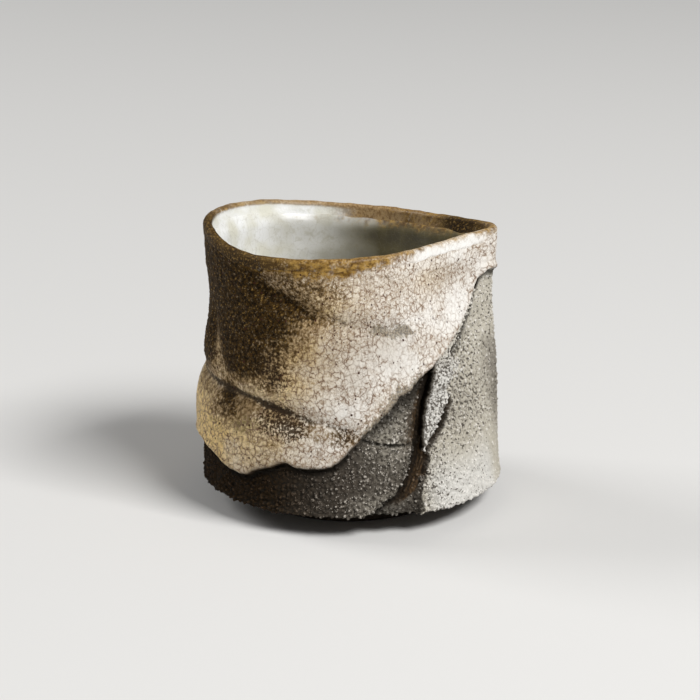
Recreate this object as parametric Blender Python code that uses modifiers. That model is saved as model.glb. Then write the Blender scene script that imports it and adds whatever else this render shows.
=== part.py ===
# Hand-built stoneware sake cup: a clay wall whose end laps over itself in a pointed flap,
# luted to a floor disc and a foot ring, with a thick body glaze, a lip glaze and a lining glaze.
# The mouth is pinched to a rounded corner at +X. The lap faces the front, -Y.

import math

import bmesh
import bpy
from mathutils import Vector

MM = 0.001  # lengths are in millimetres, angles in degrees from +X, counted from above towards +Y

# Driving dimensions
CUP_HEIGHT = 57.0
BASE_RADIUS = 31.0
MOUTH_RADIUS = 25.0  # round end of the mouth
MOUTH_SHIFT = -5.0  # centre of that round end, along X
CORNER_REACH = 30.1  # pinched corner of the mouth, along X
CORNER_RADIUS = 4.0
FOOT_HEIGHT = 5.0
FOOT_RADIUS = 20.0
FOOT_WIDTH = 4.6
BASE_HANG = 0.5  # the wall's edge hangs this far below the top of the foot
FLOOR_THICKNESS = 5.0
FLOOR_RADIUS = 24.6
WALL_AT_BASE = 4.0  # clay alone, without the glazes
WALL_AT_LIP = 0.9
BODY_GLAZE = 0.8
LIP_GLAZE = 0.5
LINING = 0.5
LIP_BAND = 3.2  # how far the lip glaze runs down the outside
FLAP_THICKNESS = 1.1
FLAP_THINNEST = 0.4  # at its point and where it runs out under the mouth's corner
FLAP_POINT_RUN = 5.0
FLAP_TOP_RUN = 9.0
FLAP_RIGHT_EDGE = 0.5  # share of the fullness left at the edge beside the shoulder
GAP = 0.3  # luted faces and glaze coats stay this far apart
LINING_GAP = 0.5  # a little more where the lining turns the mouth's corner

# Worked out from the driving dimensions
SKIN = GAP + BODY_GLAZE  # the clay lies this far inside the finished outside
LIP_COAT = GAP + LIP_GLAZE
BASE_EDGE = FOOT_HEIGHT - BASE_HANG  # lower edge of the wall
LIP_CENTRE = CUP_HEIGHT - LIP_COAT - WALL_AT_LIP / 2  # centre of the lip's half round
BAND_EDGE = LIP_CENTRE - LIP_BAND + WALL_AT_LIP / 2
INNER_BAND_EDGE = BAND_EDGE + 0.6  # the lip glaze is shorter on the inside
FLOOR_BOTTOM = FOOT_HEIGHT + GAP
FLOOR_TOP = FLOOR_BOTTOM + FLOOR_THICKNESS

# Lines on the outside, as (angle, height); the lip's line is its rise above or below the cup's height
LIP_WAVE = (
    (0, 0.2), (40, -0.4), (85, -1.0), (110, -0.4), (135, 0.8), (165, 1.6), (192, 1.3), (212, -0.4),
    (228, -1.0), (270, -0.8), (320, -0.6),
)
LIP_WAVE_FROM = 44.0  # the wall below this height stays level
UPPER_CREASE = ((221, 50.8), (233, 48.8), (252, 44.9), (269, 42.7), (303, 40.2))
LOWER_CREASE = ((130, 32.5), (170, 29.0), (205, 27.6), (232, 26.6), (253, 24.1), (280, 20.2))
GLAZE_FOOT = (
    (8, 50.3), (30, 39.0), (58, 23.0), (84, 14.5), (112, 12.8), (138, 15.2), (166, 12.4), (190, 14.4),
    (207, 13.2), (221, 11.0), (232, 12.4), (244, 15.0), (256, 14.2), (266, 15.9), (272, 19.0), (280, 24.6),
    (285, 27.0), (304, 31.8),
)

# A third crease runs down the left side to the lower one, as (height, angle)
LEFT_CREASE = ((24.0, 222.0), (31.0, 209.0), (37.0, 197.0), (42.0, 195.0))

# Edges of the lap, as (height, angle): the glaze stops along the seam, and the flap runs on to its point
SEAM = ((33.0, 312.5), (35.0, 319.5), (38.6, 332.7), (43.2, 346.8), (49.0, 353.5))
SEAM_CLEARANCE = 1.0
FLAP_LEFT = ((16.8, 300.2), (21.7, 301.2), (24.7, 303.0), (28.6, 307.7), *SEAM)
GLAZE_EDGE = (*GLAZE_FOOT, *((angle, height + SEAM_CLEARANCE) for height, angle in SEAM))
FLAP_RIGHT = (
    (16.8, 301.4), (18.8, 303.8), (21.8, 309.0), (24.5, 314.2), (29.5, 329.0), (33.2, 346.0), (38.0, 358.0),
    (49.0, 368.0),
)
DEEP_LINE = (  # deepest line of the furrow, which runs down from the flap and fans out at the base
    (4.3, 278.0), (7.1, 284.6), (8.1, 288.6), (12.2, 294.0), (18.8, 299.4), (23.3, 301.8), (31.0, 309.5),
)
SLAB_FOOT = ((4.3, 295.8), (9.5, 298.0), (13.4, 301.2), (16.8, 304.3))  # its right side, below the flap

# Soft mounds of the wall, negative for a dent: size, angle, height, spread in degrees, spread in height
SWELLS = (
    (1.3, 196, 19.5, 34, 6.5),  # the left side swells between the lower crease and the foot of the glaze
    (-1.4, 190, 41.5, 30, 6.5),  # above that crease it is drawn in
    (-1.0, 360, 42.0, 25, 7.0),  # so is the corner, under the mouth
)

# Depths and widths of the finer relief
CREASE_DEPTH = 0.8
CREASE_WIDTH = 2.1
CREASE_FADE = 14.0  # degrees over which a crease runs out at its ends
LEFT_CREASE_WIDTH = 1.8
LEFT_CREASE_FADE = 4.5  # millimetres of height
FLARE = 0.9  # the base edge spreads outwards
FLARE_RISE = 2.6
SHOULDER = 0.9  # the lapping end stands this far above the clay that it laps over
SHOULDER_FLANK = 1.2
SHOULDER_END = 395.0
SHOULDER_FADE = 35.0
CREVICE = 1.7  # from the flap's right edge to the middle of the shoulder's flank
FURROW_DEPTH = 1.8
FURROW_TOP = 33.0
FURROW_FADE = 2.5
FURROW_BANK = ((6.0, 2.2), (13.0, 1.4), (22.0, 3.4))  # width of its left bank, by height
FURROW_FLOOR = ((13.0, 0.35), (16.5, 1.0))  # share of the depth left at its right side, by height
FLAP_SINK = 1.6  # the flap's underside reaches this far into the furrow
FLAP_SINK_TOP = 31.0

# Mesh steps: columns crowd together at the lap, and those of the wall lean with it
COLUMNS = 72
CROWDING = 0.6
CROWDED_ANGLE = 312.0
LEAN = (  # middle of the crowd, as (height, angle)
    (4.5, 298.0), (16.8, 303.0), (24.5, 316.0), (33.2, 344.0), (38.0, 346.0), (50.0, CROWDED_ANGLE),
)
LEAN_SPREAD = 60.0
LAP_ROWS = 17  # close rows of the wall, up to just above the furrow
LAP_TOP = 35.0
UPPER_ROWS = 7
LINING_COLUMNS = 44
FOOT_COLUMNS = 36


def ease(t):
    t = min(max(t, 0.0), 1.0)
    return t * t * (3 - 2 * t)


def mix(a, b, t):
    return a + (b - a) * t


def bump(distance, width):
    return math.exp(-0.5 * (distance / width) ** 2)


def turn_between(a, b):
    """Signed turn from angle b to angle a, from -180 to 180 degrees."""
    return (a - b + 180.0) % 360.0 - 180.0


def along(line, x):
    """Height of a smooth curve through the line's points, level past its ends."""
    if x <= line[0][0]:
        return line[0][1]
    if x >= line[-1][0]:
        return line[-1][1]
    i = max(k for k in range(len(line) - 1) if line[k][0] <= x)
    before, start, end, after = (line[min(max(k, 0), len(line) - 1)] for k in range(i - 1, i + 3))
    width = end[0] - start[0]
    leave = (end[1] - before[1]) / (end[0] - before[0]) * width
    arrive = (after[1] - start[1]) / (after[0] - start[0]) * width
    t = (x - start[0]) / width
    return (
        start[1] * (2 * t**3 - 3 * t**2 + 1)
        + leave * (t**3 - 2 * t**2 + t)
        + end[1] * (3 * t**2 - 2 * t**3)
        + arrive * (t**3 - t**2)
    )


def around(line, angle):
    """A curve that closes on itself round the cup."""
    closed = [(a - 360, h) for a, h in line] + list(line) + [(a + 360, h) for a, h in line]
    return along(closed, angle % 360.0)


def mouth_reach(angle):
    """Distance from the axis to the mouth's outline: a round end and a small corner joined by two flats."""
    turn = abs(turn_between(angle, 0.0))
    corner_x = CORNER_REACH - CORNER_RADIUS
    lean = math.acos((MOUTH_RADIUS - CORNER_RADIUS) / (corner_x - MOUTH_SHIFT))
    end_from = math.atan2(MOUTH_RADIUS * math.sin(lean), MOUTH_SHIFT + MOUTH_RADIUS * math.cos(lean))
    corner_to = math.atan2(CORNER_RADIUS * math.sin(lean), corner_x + CORNER_RADIUS * math.cos(lean))
    a = math.radians(turn)
    if corner_to < a < end_from:
        return (MOUTH_SHIFT * math.cos(lean) + MOUTH_RADIUS) / math.cos(a - lean)
    centre, radius = (MOUTH_SHIFT, MOUTH_RADIUS) if a >= end_from else (corner_x, CORNER_RADIUS)
    across = centre * math.cos(a)
    return across + math.sqrt(across**2 - centre**2 + radius**2)


def form_radius(angle, z):
    """Finished outside before the finer relief: round at the base, drawn in to the mouth's outline."""
    t = (z - BASE_EDGE) / (CUP_HEIGHT - BASE_EDGE)
    t = min(max(t, 0.0), 1.0)
    radius = mix(BASE_RADIUS, mouth_reach(angle), (t + ease(t)) / 2)
    for size, centre, height, spread, rise in SWELLS:
        radius += size * bump(turn_between(angle, centre), spread) * bump(z - height, rise)
    return radius


def crease(line, angle, z):
    fade = ease((angle - line[0][0]) / CREASE_FADE) * ease((line[-1][0] - angle) / CREASE_FADE)
    return -CREASE_DEPTH * fade * bump(z - along(line, angle), CREASE_WIDTH)


def right_of(line, turn, z, radius):
    """Distance on the surface to the right of a line given as (height, angle), square to the line."""
    arc = math.radians(radius)
    lean = (along(line, z + 0.5) - along(line, z - 0.5)) * arc
    return (turn - along(line, z)) * arc / math.hypot(1.0, lean)


def left_crease(angle, z, radius):
    """The crease that runs down the left side."""
    low, high = LEFT_CREASE[0][0], LEFT_CREASE[-1][0]
    fade = ease((z - low) / LEFT_CREASE_FADE + 0.5) * ease((high - z) / LEFT_CREASE_FADE + 0.5)
    return -CREASE_DEPTH * fade * bump(right_of(LEFT_CREASE, angle, z, radius), LEFT_CREASE_WIDTH)


def lap_relief(angle, z, radius):
    """The clay sinks in a furrow at the flap's left edge and rises in a shoulder right of the lap."""
    turn = angle if angle > 180.0 else angle + 360.0
    past_deep = right_of(DEEP_LINE, turn, z, radius)
    if z < FLAP_RIGHT[0][0]:
        past_slab = right_of(SLAB_FOOT, turn, z, radius)
    else:
        past_slab = right_of(FLAP_RIGHT, turn, z, radius) - CREVICE
    if past_deep < 0.0:
        share = ease(1.0 + past_deep / along(FURROW_BANK, z))
    else:
        share = mix(1.0, along(FURROW_FLOOR, z), past_deep / max(past_deep - past_slab, past_deep, 0.1))
    furrow = FURROW_DEPTH * share * ease((FURROW_TOP - z) / FURROW_FADE)
    shoulder = SHOULDER * ease((SHOULDER_END - turn) / SHOULDER_FADE)
    return mix(-furrow, shoulder, ease(past_slab / SHOULDER_FLANK + 0.5))


def clay_radius(angle, z):
    """Outside of the clay wall."""
    angle %= 360.0
    radius = form_radius(angle, z) - SKIN
    flare = FLARE * math.exp(-max(z - BASE_EDGE, 0.0) / FLARE_RISE)
    creases = crease(UPPER_CREASE, angle, z) + crease(LOWER_CREASE, angle, z)
    creases += left_crease(angle, z, radius)
    return radius + flare + creases + lap_relief(angle, z, radius)


def inner_radius(angle, z):
    """Inside of the clay wall, smooth where the outside is worked."""
    t = ease((z - BASE_EDGE) / (LIP_CENTRE - BASE_EDGE))
    return form_radius(angle, z) - SKIN - mix(WALL_AT_BASE, WALL_AT_LIP, t)


def crowded(angle):
    turn = math.radians(angle - CROWDED_ANGLE)
    return angle - math.degrees(CROWDING * math.sin(turn))


def leaning(angle, z, share):
    """A crowded column that leans with the lap, less towards the inside and the far side of the cup."""
    upright = crowded(angle)
    near = bump(turn_between(upright, CROWDED_ANGLE), LEAN_SPREAD)
    return upright + (along(LEAN, z) - CROWDED_ANGLE) * near * share


def point(angle, radius, z):
    """A place on the cup; near the mouth every coat and edge follows the lip's wave."""
    a = math.radians(angle)
    rise = around(LIP_WAVE, angle) * ease((z - LIP_WAVE_FROM) / (LIP_CENTRE - LIP_WAVE_FROM))
    return Vector((radius * math.cos(a), radius * math.sin(a), z + rise)) * MM


def turned(name, profile, columns, material):
    """A closed profile of (radius, height) turned about Z by a Screw modifier."""
    mesh = bpy.data.meshes.new(name)
    corners = [(radius * MM, 0.0, z * MM) for radius, z in profile]
    closing = [(i, (i + 1) % len(corners)) for i in range(len(corners))]
    mesh.from_pydata(corners, closing, [])
    mesh.materials.append(material)
    obj = bpy.data.objects.new(name, mesh)
    cup.objects.link(obj)
    screw = obj.modifiers.new("Turn", "SCREW")
    screw.steps = screw.render_steps = columns
    screw.use_merge_vertices = True
    screw.merge_threshold = 0.00001
    return obj


def pressed(blank, press):
    """The turned blank made a plain mesh, with each point moved by press(angle, radius, height)."""
    graph = bpy.context.evaluated_depsgraph_get()
    mesh = bpy.data.meshes.new_from_object(blank.evaluated_get(graph))
    for vertex in mesh.vertices:
        x, y, z = (value / MM for value in vertex.co)
        vertex.co = press(math.degrees(math.atan2(y, x)) % 360.0, math.hypot(x, y), z)
    shape = bmesh.new()
    shape.from_mesh(mesh)
    bmesh.ops.remove_doubles(shape, verts=shape.verts, dist=0.00001)
    bmesh.ops.recalc_face_normals(shape, faces=shape.faces)
    shape.to_mesh(mesh)
    shape.free()
    blank.modifiers.clear()
    old = blank.data
    blank.data = mesh
    bpy.data.meshes.remove(old)
    mesh.name = blank.name
    mesh.shade_smooth()
    return blank


def clay_wall():
    """The blank runs from radius 1, the inside, to 2, the outside, and up to height 1 below the lip."""
    rows, inner_rows = LAP_ROWS + UPPER_ROWS, 5
    outside = [(2.0, 1.0 - i / rows) for i in range(rows + 1)]
    inside = [(1.0, i / inner_rows) for i in range(inner_rows + 1)]
    lip = [(1.5 - 0.5 * math.cos(a), 1.0 + math.sin(a)) for a in (math.pi / 4, math.pi / 2, 3 * math.pi / 4)]
    profile = lip[1:] + outside + [(1.5, 0.0)] + inside + lip[:1]
    blank = turned("wall_slab", profile, COLUMNS, STONEWARE)

    def press(angle, depth, row):
        share = depth - 1.0
        if row > 1.0:
            angle = crowded(angle)
            outer, inner = clay_radius(angle, LIP_CENTRE), inner_radius(angle, LIP_CENTRE)
            return point(angle, mix(inner, outer, share), LIP_CENTRE + (row - 1.0) * WALL_AT_LIP / 2)
        step = row * rows
        z = mix(BASE_EDGE, LAP_TOP, step / LAP_ROWS)
        if step > LAP_ROWS:
            z = mix(LAP_TOP, LIP_CENTRE, (step - LAP_ROWS) / UPPER_ROWS)
        angle = leaning(angle, z, share)
        if row == 0.0:
            z += (1.0 - share) * (BASE_HANG + GAP)
        return point(angle, mix(inner_radius(angle, z), clay_radius(angle, z), share), z)

    return pressed(blank, press)


def body_glaze():
    """A skirt of glaze from under the lip band down to its own wavy edge, where it ends in a roll."""
    rows = 14
    outside = [(2.0, 1.0 - i / rows) for i in range(rows + 1)]
    inside = [(1.0, i / rows) for i in range(rows + 1)]
    blank = turned("outer_glaze", outside + inside, COLUMNS, WHITE_GLAZE)
    top = BAND_EDGE - GAP

    def press(angle, depth, row):
        angle = crowded(angle)
        z = mix(around(GLAZE_EDGE, angle), top, row)
        return point(angle, clay_radius(angle, z) + mix(GAP, SKIN, depth - 1.0), z)

    return pressed(blank, press)


def lip_glaze():
    """A band that caps the lip; its section is a half round with straight legs."""
    def section(offset):
        reach = WALL_AT_LIP / 2 + offset
        arc = [math.pi * i / 4 for i in range(5)]
        over = [(reach * math.cos(a), LIP_CENTRE + reach * math.sin(a)) for a in arc]
        return [(reach, BAND_EDGE)] + over + [(-reach, INNER_BAND_EDGE)]

    middle = 10.0  # the blank's own radius, far from the axis
    profile = [(middle + x, z) for x, z in section(LIP_COAT)[::-1] + section(GAP)]
    blank = turned("lip_glaze", profile, COLUMNS, AMBER_GLAZE)

    def press(angle, radius, z):
        angle = crowded(angle)
        level = min(z, LIP_CENTRE)
        outer, inner = clay_radius(angle, level), inner_radius(angle, level)
        x = radius - middle
        half = WALL_AT_LIP / 2
        side = mix(inner, outer, min(max(x / WALL_AT_LIP + 0.5, 0.0), 1.0))
        return point(angle, side + math.copysign(max(abs(x) - half, 0.0), x), z)

    return pressed(blank, press)


def lining_glaze():
    """A thin cup inside the clay, from under the lip band to the floor, with a rounded corner."""
    nominal = 24.0
    corner = 5.0
    rows = 7
    top = INNER_BAND_EDGE - GAP

    def skin(offset):
        radius = nominal - offset
        bottom = FLOOR_TOP + offset
        wall = [(radius, mix(top, bottom + corner, i / rows)) for i in range(rows + 1)]
        bend = [
            (radius - corner * (1 - math.cos(a)), bottom + corner * (1 - math.sin(a)))
            for a in (math.pi / 6, math.pi / 3, math.pi / 2)
        ]
        return wall + bend + [(radius * 0.4, bottom), (0.0, bottom)]

    profile = skin(LINING_GAP) + skin(LINING_GAP + LINING)[::-1]
    blank = turned("inner_glaze", profile, LINING_COLUMNS, LINING_GLAZE)

    def press(angle, radius, z):
        level = max(z, FLOOR_TOP + corner)
        return point(angle, radius * inner_radius(angle, level) / nominal, z)

    return pressed(blank, press)


def lap_flap():
    """The pointed end of the wall slab: a tapering tongue of clay laid over the wall from the corner down.

    The blank is a flat grid, extruded from height 0, the underside, to 1, the outside.
    """
    across, up = 8, 24
    shape = bmesh.new()
    bmesh.ops.create_grid(shape, x_segments=across, y_segments=up, size=1.0)
    raised = bmesh.ops.extrude_face_region(shape, geom=shape.faces[:], use_keep_orig=True)
    for vertex in (item for item in raised["geom"] if isinstance(item, bmesh.types.BMVert)):
        vertex.co.z = 1.0
    bottom, top = FLAP_LEFT[0][0], FLAP_LEFT[-1][0]
    for vertex in shape.verts:
        share = (vertex.co.x + 1) / 2
        z = mix(bottom, top, (vertex.co.y + 1) / 2)
        angle = mix(along(FLAP_LEFT, z), along(FLAP_RIGHT, z), share)
        ends = ease((z - bottom) / FLAP_POINT_RUN) * ease((top - z) / FLAP_TOP_RUN)
        fullness = ends * mix(1.0, FLAP_RIGHT_EDGE, ease(2 * share - 1))
        outside = mix(FLAP_THINNEST, FLAP_THICKNESS, fullness)
        underside = -FLAP_SINK * ease((FLAP_SINK_TOP - z) / FURROW_FADE)
        bed = form_radius(angle, z) - SKIN + GAP
        vertex.co = point(angle, bed + mix(underside, outside, vertex.co.z), z)
    bmesh.ops.recalc_face_normals(shape, faces=shape.faces)
    mesh = bpy.data.meshes.new("lap_flap")
    shape.to_mesh(mesh)
    shape.free()
    mesh.materials.append(STONEWARE)
    mesh.shade_smooth()
    obj = bpy.data.objects.new("lap_flap", mesh)
    cup.objects.link(obj)
    return obj


def floor_disc():
    edge = 1.0
    profile = [
        (FLOOR_RADIUS, FLOOR_TOP), (FLOOR_RADIUS, FLOOR_BOTTOM + edge), (FLOOR_RADIUS - edge, FLOOR_BOTTOM),
        (0.0, FLOOR_BOTTOM), (0.0, FLOOR_TOP),
    ]
    return turned("floor_disc", profile, FOOT_COLUMNS, STONEWARE)


def foot_ring():
    """A ring cut with a slight batter inside and out and eased edges where it stands."""
    batter, edge = 0.8, 0.6
    inside = FOOT_RADIUS - FOOT_WIDTH
    profile = [
        (FOOT_RADIUS + batter, FOOT_HEIGHT), (FOOT_RADIUS, edge), (FOOT_RADIUS - edge, 0.0),
        (inside + edge, 0.0), (inside, edge), (inside - batter, FOOT_HEIGHT),
    ]
    return turned("foot_ring", profile, FOOT_COLUMNS, STONEWARE)


def finish(name, colour, roughness):
    material = bpy.data.materials.new(name)
    material.use_nodes = True
    shader = material.node_tree.nodes["Principled BSDF"]
    shader.inputs["Base Color"].default_value = (*colour, 1.0)
    shader.inputs["Roughness"].default_value = roughness
    shader.inputs["Metallic"].default_value = 0.0
    return material


def centre_on_table(pieces):
    """Shifts the cup so that its box is centred on the Z axis, and parents it to one empty."""
    bpy.context.view_layer.update()
    graph = bpy.context.evaluated_depsgraph_get()
    corners = [Vector(corner) for piece in pieces for corner in piece.evaluated_get(graph).bound_box]
    middle = [(min(c[i] for c in corners) + max(c[i] for c in corners)) / 2 for i in range(2)]
    stand = bpy.data.objects.new("sake_cup_origin", None)
    cup.objects.link(stand)
    for piece in pieces:
        piece.parent = stand
        piece.location = (-middle[0], -middle[1], 0.0)
    print(f"box centre moved by {-middle[0] / MM:.3f}, {-middle[1] / MM:.3f} mm")


for old in list(bpy.data.objects):
    bpy.data.objects.remove(old)
cup = bpy.data.collections.new("sake_cup")
bpy.context.scene.collection.children.link(cup)

STONEWARE = finish("gritty_stoneware", (0.16, 0.13, 0.10), 0.9)
WHITE_GLAZE = finish("white_crackle_glaze", (0.66, 0.60, 0.50), 0.4)
AMBER_GLAZE = finish("amber_lip_glaze", (0.33, 0.19, 0.07), 0.25)
LINING_GLAZE = finish("pale_lining_glaze", (0.62, 0.63, 0.55), 0.15)

centre_on_table([
    clay_wall(), lap_flap(), floor_disc(), foot_ring(), body_glaze(), lip_glaze(), lining_glaze(),
])
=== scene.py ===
# Looks of the hand-built stoneware sake cup: gritty clay, crackle glaze, amber lip and pale lining.
from types import SimpleNamespace

import bmesh
import bpy
import numpy as np
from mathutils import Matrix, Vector


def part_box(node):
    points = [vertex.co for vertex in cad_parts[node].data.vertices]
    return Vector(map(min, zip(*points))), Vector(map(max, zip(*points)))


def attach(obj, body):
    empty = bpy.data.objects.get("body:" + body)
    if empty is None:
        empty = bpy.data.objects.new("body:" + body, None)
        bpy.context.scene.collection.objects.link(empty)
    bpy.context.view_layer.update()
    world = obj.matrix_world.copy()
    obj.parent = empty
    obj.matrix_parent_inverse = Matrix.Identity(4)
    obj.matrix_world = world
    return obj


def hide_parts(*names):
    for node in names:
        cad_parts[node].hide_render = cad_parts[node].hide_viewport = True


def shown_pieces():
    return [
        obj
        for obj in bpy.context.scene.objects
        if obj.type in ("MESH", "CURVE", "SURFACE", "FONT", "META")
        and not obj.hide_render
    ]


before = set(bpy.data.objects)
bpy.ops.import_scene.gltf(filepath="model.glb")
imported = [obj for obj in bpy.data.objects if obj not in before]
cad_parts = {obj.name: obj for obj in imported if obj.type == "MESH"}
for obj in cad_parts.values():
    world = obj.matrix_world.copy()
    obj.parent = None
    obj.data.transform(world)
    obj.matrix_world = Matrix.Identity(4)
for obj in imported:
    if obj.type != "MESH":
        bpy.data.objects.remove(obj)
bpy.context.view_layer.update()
print("frame:", ", ".join(sorted(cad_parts)))

mm = 0.001  # shapes are worked out in millimetres, angles in degrees from +X towards +Y, seen from above
footLow, footHigh = (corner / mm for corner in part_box("foot_ring"))
floorLow, floorHigh = (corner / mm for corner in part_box("floor_disc"))
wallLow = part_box("wall_slab")[0] / mm
axisPlace = (footLow + footHigh) / 2

cup = {
    "height": 57.0,
    "baseEdge": wallLow.z,
    "lipCentre": 55.5,
    "baseRadius": 31.0,
    "mouthRadius": 25.0,  # round end of the mouth
    "mouthShift": -5.0,  # its centre along X
    "cornerReach": 30.1,  # pinched corner along X
    "cornerRadius": 4.0,
    "skin": 1.1,  # clay lies this far inside the finished outside
    "wallAtBase": 4.0,
    "wallAtLip": 1.4,
    "flare": 0.9,  # the base edge stands out this much
    "flareRise": 2.6,
    "seamAngle": 4.0,  # where the columns start and end
    # rise of the lip above or below the cup's height, by angle
    "lipWave": (
        (0, .2), (40, -.4), (85, -1), (110, -.4), (135, .8), (165, 1.6), (192, 1.3), (212, -.4),
        (228, -1), (270, -.8), (320, -.6),
    ),
    "lipWaveFrom": 44.0,
    # mounds and dents: size, angle, height, spread in degrees, spread in height
    "swells": ((1.3, 196, 19.5, 34, 6.5), (-1.4, 190, 41.5, 30, 6.5), (-1, 360, 42, 25, 7)),
}


def ease(t):
    t = np.clip(t, 0.0, 1.0)
    return t * t * (3 - 2 * t)


def mix(a, b, t):
    return a + (b - a) * t


def bump(distance, width):
    return np.exp(-0.5 * (distance / width) ** 2)


def ramp(x, start, run):  # from 0 at the start to 1 after the run, which may be negative
    return ease((x - start) / run)


def window(x, start, rise, end, fall):  # 1 between start and end, with soft borders
    return ramp(x, start, rise) * ramp(x, end, -fall)


def joined(rows, axis=0):
    return np.concatenate(rows, axis)


def turnBetween(a, b):
    return (a - b + 180.0) % 360.0 - 180.0


def about(angle, centre, spread):  # 1 at an angle, fading to both sides
    return bump(turnBetween(angle, centre), spread)


def dab(angle, z, centre, height, spread, rise):  # a soft spot on the wall
    return about(angle, centre, spread) * bump(z - height, rise)


def steps(count, skip=0):  # rows as even shares from 0 to 1
    return np.linspace(0, 1, count)[skip:, None]


def ripple(angle, waves):  # sum of waves round the cup: size, count, start
    return sum(size * np.sin(count * np.radians(angle) + start) for size, count, start in waves)


def along(line, x):  # smooth curve through the line's points, level past its ends
    places, heights = np.array(line, float).T
    slopes = np.gradient(heights, places)
    slopes[1:-1] = (heights[2:] - heights[:-2]) / (places[2:] - places[:-2])
    x = np.clip(x, places[0], places[-1])
    i = np.clip(np.searchsorted(places, x, side="right") - 1, 0, len(places) - 2)
    width = places[i + 1] - places[i]
    t = (x - places[i]) / width
    leave, arrive = slopes[i] * width, slopes[i + 1] * width
    start = heights[i] * (2 * t**3 - 3 * t**2 + 1) + leave * (t**3 - 2 * t**2 + t)
    return start + heights[i + 1] * (3 * t**2 - 2 * t**3) + arrive * (t**3 - t**2)


def around(line, angle):  # the same, closed round the cup
    closed = [(a + turn, h) for turn in (-360, 0, 360) for a, h in line]
    return along(closed, angle % 360.0)


latticeKeys = np.array([73856093, 19349663, 83492791])  # large primes that scatter the lattice's cells


def softNoise(points, size, seed):  # value noise from -1 to 1, on a lattice of that size
    table = np.random.default_rng(seed).uniform(-1, 1, 4096)
    cell = np.floor(points / size).astype(np.int64)
    t = ease(points / size - cell)
    total = 0.0
    for corner in np.ndindex(2, 2, 2):
        key = np.bitwise_xor.reduce((cell + corner) * latticeKeys, axis=-1)
        total = total + table[key % len(table)] * np.where(corner, t, 1 - t).prod(-1)
    return total


def lumpy(points, layers):  # sum of noises: height, lattice size, seed
    return sum(height * softNoise(points, size, seed) for height, size, seed in layers)


def flatNoise(seed, u, v=0.0):  # noise on a plane, on a lattice of 1
    return softNoise(np.stack(np.broadcast_arrays(u, v, 0.0), -1), 1.0, seed)


# Form of the cup, as the frame has it
def mouthReach(angle):
    a = np.radians(np.abs(turnBetween(angle, 0.0)))
    big, small = cup["mouthRadius"], cup["cornerRadius"]
    shift, tip = cup["mouthShift"], cup["cornerReach"] - cup["cornerRadius"]
    lean = np.arccos((big - small) / (tip - shift))
    endFrom = np.arctan2(big * np.sin(lean), shift + big * np.cos(lean))
    cornerTo = np.arctan2(small * np.sin(lean), tip + small * np.cos(lean))
    flat = (shift * np.cos(lean) + big) / np.cos(a - lean)
    centre, radius = np.where(a >= endFrom, shift, tip), np.where(a >= endFrom, big, small)
    across = centre * np.cos(a)
    arc = across + np.sqrt(np.maximum(across**2 - centre**2 + radius**2, 0.0))
    return np.where((a > cornerTo) & (a < endFrom), flat, arc)


def formRadius(angle, z):
    t = np.clip((z - cup["baseEdge"]) / (cup["height"] - cup["baseEdge"]), 0.0, 1.0)
    radius = mix(cup["baseRadius"], mouthReach(angle), (t + ease(t)) / 2)
    for size, *spot in cup["swells"]:
        radius = radius + size * dab(angle, z, *spot)
    return radius


def innerRadius(angle, z):
    t = ramp(z, cup["baseEdge"], cup["lipCentre"] - cup["baseEdge"])
    return formRadius(angle, z) - cup["skin"] - mix(cup["wallAtBase"], cup["wallAtLip"], t)


def place(angle, radius, z):  # in metres; near the mouth everything follows the lip's wave
    a = np.radians(angle)
    follow = ramp(z, cup["lipWaveFrom"], cup["lipCentre"] - cup["lipWaveFrom"])
    x, y = radius * np.cos(a) + axisPlace.x, radius * np.sin(a) + axisPlace.y
    return np.stack(np.broadcast_arrays(x, y, z + around(cup["lipWave"], angle) * follow), -1) * mm


def columnsAround(count, centre=0, spread=90, crowding=0.0):  # angles, closer together round the centre
    fine = cup["seamAngle"] + np.linspace(0.0, 360.0, 7201)
    pace = 1.0 + crowding * about(fine, centre, spread)
    share = joined([[0.0], np.cumsum((pace[1:] + pace[:-1]) / 2)])
    return np.interp(np.arange(count) / count, share / share[-1], fine)


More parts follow.
